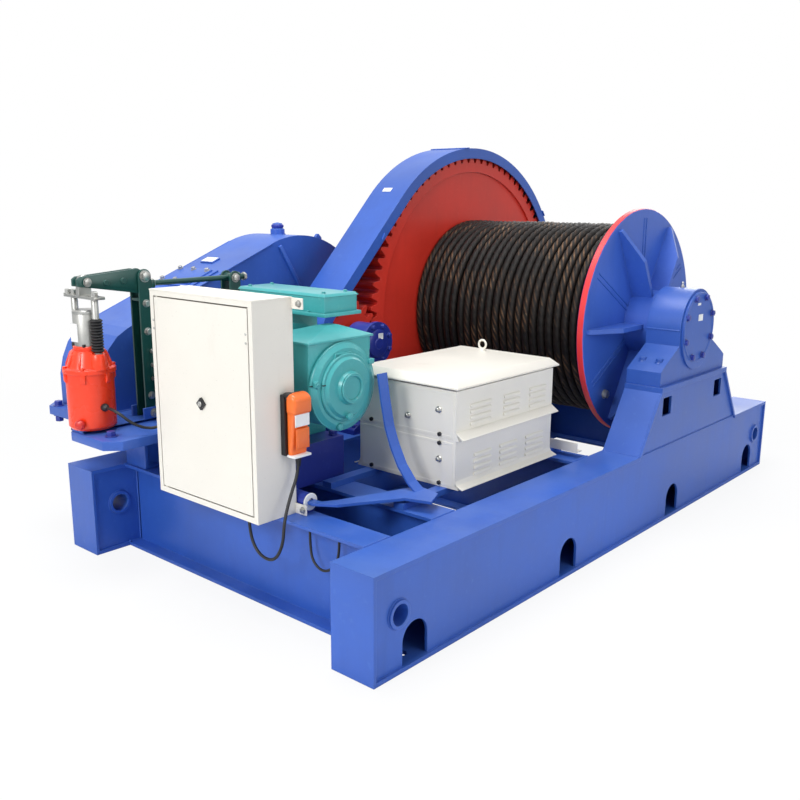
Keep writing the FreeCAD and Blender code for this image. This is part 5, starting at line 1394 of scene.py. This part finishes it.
def cover_fittings():
    """the small grille, split line, hinge, knobs and latch lugs on the round cover"""
    y, z, face = MOTOR_Y, MOTOR_Z, COVER_FACE
    plate("cover_grille_frame", "teal", (face + 0.028, y - 0.060, z + 0.100),
          (face + 0.036, y + 0.026, z + 0.136), 0.002, 2, rim=0.005, depth=0.005, face=(1, 0, 0))
    bars = joined([block((face + 0.0295, y - 0.053 + number * 0.0115, z + 0.104),
                         (face + 0.0345, y - 0.049 + number * 0.0115, z + 0.132)) for number in range(7)])
    bevel(bars, 0.0008, 1)
    settle(bars, "cover_grille_bars", "teal", "root")
    split = block((face + 0.016, y - 0.178, z + 0.024), (face + 0.0215, y - 0.150, z + 0.0275))
    bevel(split, 0.0008, 1)
    line = block((face + 0.033, y - 0.130, z + 0.022), (face + 0.0415, y - 0.050, z + 0.0265))
    bevel(line, 0.001, 1)
    settle(joined([split, line]), "cover_split", "black", "root")
    spun("cover_hinge", "teal",
         [(0, 0.017), (0.010, 0.017), (0.013, 0.014), (0.013, 0.008), (0.016, 0.006)],
         facing((1, 0, 0), (face + 0.022, y - 0.150, z + 0.030)), 6)
    knobs = []
    for py, pz, lift in ((y - 0.014, z - 0.110, 0.044), (y - 0.036, z - 0.152, 0.012)):
        knob = turned([(0, 0.011), (0.010, 0.011), (0.014, 0.015), (0.024, 0.015), (0.028, 0.010),
                       (0.028, 0.004)], 8)
        knobs.append(moved(knob, facing((1, 0, 0), (face + lift, py, pz))))
    settle(joined(knobs), "cover_knobs", "teal", "root")
    lugs = []
    for py, pz in ((y + 0.140, z + 0.082), (y + 0.124, z + 0.050)):
        lug = block((face + 0.010, py - 0.016, pz - 0.011), (face + 0.036, py + 0.016, pz + 0.011))
        bevel(lug, 0.004)
        lugs.append(lug)
    settle(joined(lugs), "cover_latch_lugs", "teal", "root")


def slip_ring_case():
    """a round case with a square upper half and a hipped lid"""
    y, z = MOTOR_Y, MOTOR_Z
    half, near, far, brow = 0.165, 0.040, 0.300, 1.020
    drum = moved(turned([(near, half), (far, half)], 64), facing((1, 0, 0), (0, y, z)))
    upper = block((near, y - half, z), (far, y + half, brow - 0.008))
    rim = block((near, y - half - 0.010, brow - 0.008), (far + 0.012, y + half + 0.010, brow))
    length = far - near
    lid = hipped((near, y - half - 0.010, brow), (far + 0.012, y + half + 0.010, brow + 0.042),
                 (length * 0.55, 2 * half * 0.52), (length * 0.3, 2 * half * 0.36))
    for piece in (upper, rim, lid):
        bevel(piece, 0.0018)
    housing = settle(joined([drum, upper, rim, lid]), "slip_ring_case", "teal", "root")
    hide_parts("slip_ring_housing")
    edge = joined([block((near - 0.0005, y - half - 0.001, 0.960), (near + 0.0030, y - half + 0.003, 1.010)),
                   block((far - 0.0025, y - half - 0.001, 0.960), (far + 0.0015, y - half + 0.003, 1.010)),
                   block((far - 0.0025, y + half - 0.003, 0.960), (far + 0.0015, y + half + 0.001, 1.010))])
    bevel(edge, 0.001, 1)
    settle(edge, "housing_corner_seams", "teal", "root")


# ------------------------------------------------------------------ control cabinet and pendant

def cabinet_details():
    front, back, high = -1.640, -1.455, 1.195
    ears = []
    for side in (-1, 1):
        for z in (0.385, 1.155):
            near, far = sorted((side * 0.303, side * 0.364))
            ears.append(block((near, -1.4600, z), (far, -1.4545, z + 0.040)))
    ears = joined(ears)
    bevel(ears, 0.0015, 1)
    settle(ears, "cabinet_ear_plates", "white", "root")
    places = [facing((0, -1, 0), (side * 0.346, -1.4600, z)) for side in (-1, 1) for z in (0.405, 1.175)]
    bolts("cabinet_ear_bolts", "grey_steel", places, 0.018, 0.009)
    marks = []
    for px in (-0.287, 0.268):
        for z in (1.078, 1.046):
            marks.append(facing((0, -1, 0), (px, front - 0.0003, z)))
    screw = turned([(0, 0.0052), (0.0012, 0.0050), (0.0022, 0.0036), (0.0012, 0.0022), (0.0010, 0.0008)], 12)
    settle(copies(screw, marks), "hinge_and_lock_screws", "grey_steel", "root")
    plate("cabinet_roof_fold", "white", (-0.307, front - 0.0015, high - 0.0035),
          (0.307, back, high + 0.0025), 0.0015, rim=0.006, depth=0.001, face=(0, 0, 1))
    spun("lock_insert", "grey_steel",
         [(0, 0.0105), (0.003, 0.0105), (0.0045, 0.009), (0.0035, 0.005), (0.0020, 0.003)],
         facing((0, -1, 0), (0, -1.650, 0.790)), 24, body="door")
    hinge = []
    for z in (0.470, 0.790, 1.110):
        hinge.append(moved(turned([(-0.030, 0.0046), (-0.028, 0.0056), (0.028, 0.0056), (0.030, 0.0046)], 16),
                           Matrix.Translation((-0.265, -1.634, z))))
    settle(joined(hinge), "hinge_sleeves", "white", "door")
    foot = []
    for px in (-0.25, 0.25):
        channel = block((px - 0.030, back - 0.001, 0.386), (px + 0.030, back + 0.045, 0.440))
        cut_off(channel, (px, back + 0.045, 0.400), (0, 1, 0.9))
        bevel(channel, 0.003)
        foot.append(channel)
    settle(joined(foot), "cabinet_foot_brackets", "blue", "root")


def pendant_details():
    low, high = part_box("pendant")
    middle = (low.y + high.y) / 2
    body = block((0.326, middle - 0.040, 0.622), (0.368, middle + 0.040, 0.852))
    cut_off(body, (0.368, 0, 0.800), (1, 0, -0.10))
    bevel(body, 0.012, 4)
    head = block((0.326, middle - 0.044, 0.780), (0.378, middle + 0.044, 0.857))
    cut_off(head, (0.378, 0, 0.842), (0.6, 0, 1))
    bevel(head, 0.013, 4)
    settle(joined([body, head]), "pendant_body", "orange", "root", smooth=40)
    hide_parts("pendant")
    plate("pendant_slot", "black", (0.3655, middle - 0.037, 0.792),
          (0.3745, middle + 0.037, 0.812), 0.004, 2)
    plate("pendant_blank_label", "label", (0.3665, middle - 0.034, 0.736),
          (0.3700, middle + 0.034, 0.794), 0.0008, 1, rim=0.003, depth=0.0005, face=(1, 0, 0))
    plate("pendant_key_panel", "orange", (0.3668, middle - 0.032, 0.652),
          (0.3705, middle + 0.032, 0.728), 0.002, 2, rim=0.006, depth=-0.002, face=(1, 0, 0))
    plate("pendant_lower_edge", "label", (0.328, middle - 0.041, 0.619),
          (0.3705, middle + 0.041, 0.628), 0.002, 2)
    spun("pendant_top_knob", "black",
         [(0, 0.014), (0.010, 0.014), (0.014, 0.018), (0.022, 0.018), (0.026, 0.013)],
         facing((0, 0, 1), (0.330, middle - 0.030, 0.832)), 20)
    spun("pendant_lead_sleeve", "rubber",
         [(0, 0.011), (0.006, 0.012), (0.018, 0.011), (0.040, 0.0075), (0.042, 0.0062), (0, 0.0062)],
         facing((0, 0, -1), (0.343, -1.475, 0.6205)), 16, hollow=True)


# ------------------------------------------------------------------ resistor boxes

def louvre():
    """a pressed louvre in the plane x = 0, opening downwards, 1 m long to be scaled"""
    piece = block((-0.0005, -0.5, -0.0065), (0.0085, 0.5, 0.0065))
    cut_off(piece, (0.0085, 0, -0.0035), (1, 0, 0.55))
    bevel(piece, 0.0018, 2)
    return piece


def louvres():
    """rows of louvres on both long sides of both boxes"""
    columns = {"upper": (((-0.816, -0.676), (-0.585, -0.469), (-0.391, -0.266)),
                         (0.740, 0.716, 0.691, 0.666)),
               "lower": (((-0.785, -0.666), (-0.605, -0.478), (-0.411, -0.274)),
                         (0.530, 0.504, 0.478, 0.452))}
    for tier, (spans, heights) in columns.items():
        for side, word, face in ((1, "right", 0.630), (-1, "left", 0.110)):
            pieces = []
            for first, last in spans:
                for z in heights:
                    slit = louvre()
                    stretch = Matrix.Diagonal((side, last - first, 1, 1))
                    slit.data.transform(Matrix.Translation((face, (first + last) / 2, z)) @ stretch)
                    if side < 0:
                        slit.data.flip_normals()
                    pieces.append(slit)
            settle(joined(pieces), "louvres_%s_%s" % (tier, word), "white", "root", smooth=50)


def box_fasteners():
    """knobs and bolts on the ends of the boxes"""
    knob = turned([(0, 0.013), (0.004, 0.0135), (0.006, 0.010), (0.014, 0.0095), (0.018, 0.006),
                   (0.019, 0.002)], 16)
    places = [facing((0, -1, 0), (px, -0.905, pz)) for px,
              pz in ((0.545, 0.727), (0.549, 0.525), (0.384, 0.678))]
    settle(copies(knob, places), "box_front_knobs", "grey_steel", "root")
    places = [facing((0, -1, 0), (px, -0.905, pz)) for px,
              pz in ((0.551, 0.592), (0.551, 0.426), (0.180, 0.426), (0.180, 0.628), (0.551, 0.628))]
    bolts("box_front_bolts", "black", places, 0.016, 0.009, washer=False)
    places = [facing((0, 1, 0), (px, -0.205, pz)) for px in (0.150, 0.590)
              for pz in (0.440, 0.590, 0.640, 0.780)]
    bolts("box_rear_bolts", "grey_steel", places, 0.014, 0.008)


def box_sheets():
    """end panels, flared skirts and a black band in the gap under the lid, standing in for its shade"""
    panel = []
    for low, high in ((0.418, 0.600), (0.618, 0.802)):
        for y, way in ((-0.905, -1), (-0.205, 1)):
            sheet = block((0.122, y - 0.0015, low), (0.618, y + 0.0015, high))
            sink(sheet, lambda centre, normal: normal.y * way > 0.9, 0.010, 0.0008)
            bevel(sheet, 0.0006, 1)
            panel.append(sheet)
    settle(joined(panel), "box_end_panels", "white", "root")
    skirts = []
    for low, rise in ((0.410, 0.022), (0.612, 0.034)):
        for edge, out in ((0.110, -1), (0.630, 1)):
            sheet = prism([(edge - 0.002 * out, low + rise - 0.006), (edge + 0.035 * out, low + 0.002),
                           (edge + 0.038 * out, low + 0.006), (edge - 0.002 * out, low + rise)], "Y", -0.905,
                          -0.205)
            bevel(sheet, 0.0008, 1)
            skirts.append(sheet)
    settle(joined(skirts), "box_skirts", "white", "root")
    # a black sheet in the recess under the lid: painted shade for the gap
    plate("lid_gap_shade_band", "black", (0.140, -0.875, 0.809), (0.600, -0.235, 0.824), 0.001, 1)


def resistor_roof():
    """the hipped lid with its lifting eye"""
    edge = block((0.090, -0.925, 0.820), (0.650, -0.185, 0.826))
    hip = hipped((0.090, -0.925, 0.826), (0.650, -0.185, 0.856), (0.032, 0.032), (0.032, 0.032))
    bevel(edge, 0.001, 1)
    bevel(hip, 0.002)
    deselect()
    bpy.ops.mesh.primitive_torus_add(major_radius=0.020, minor_radius=0.005, major_segments=32,
                                     minor_segments=12, location=(0.280, -0.262, 0.884),
                                     rotation=(math.pi / 2, 0, 0))
    eye = bpy.context.object
    bpy.ops.object.transform_apply(location=True, rotation=True)
    collar = turned([(0.854, 0.016), (0.858, 0.016), (0.860, 0.012), (0.866, 0.009)], 20)
    lid = settle(joined([edge, hip, eye, moved(collar, Matrix.Translation((0.280, -0.262, 0)))]),
                 "resistor_roof", "white", "root")
    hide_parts("resistor_lid")


def pedal_details():
    spun("tube_end_ring", "label",
         [(0, 0.0335), (0.004, 0.0335), (0.006, 0.031), (0.006, 0.0145), (0, 0.0145)],
         facing((1, 0, 0), (0.3395, -1.418, 0.427)), 32, hollow=True)
    spun("tube_end_screw", "grey_steel",
         [(-0.004, 0.013), (0.002, 0.013), (0.004, 0.009), (0.004, 0.004)],
         facing((1, 0, 0), (0.3345, -1.418, 0.427)), 12)


place_camera()
cables()
white_room()
coat_nodes()
rope_on_drum()
for make in (beam_welds, pedestal_and_tube_welds, bearing_details, flange_details, pinion_details,
             guard_details, lid_details, bearing_caps, gearbox_seams, gearbox_bolts, gearbox_fittings,
             brake_arms, brake_lever, brake_stand, brake_channel, brake_fasteners, thruster_tank, push_rods,
             rod_gaiters, thruster_fasteners, tank_fittings, stator_details, terminal_box, end_cover,
             cover_fittings, slip_ring_case, cabinet_details, pendant_details, louvres, box_fasteners,
             box_sheets, resistor_roof, pedal_details):
    make()
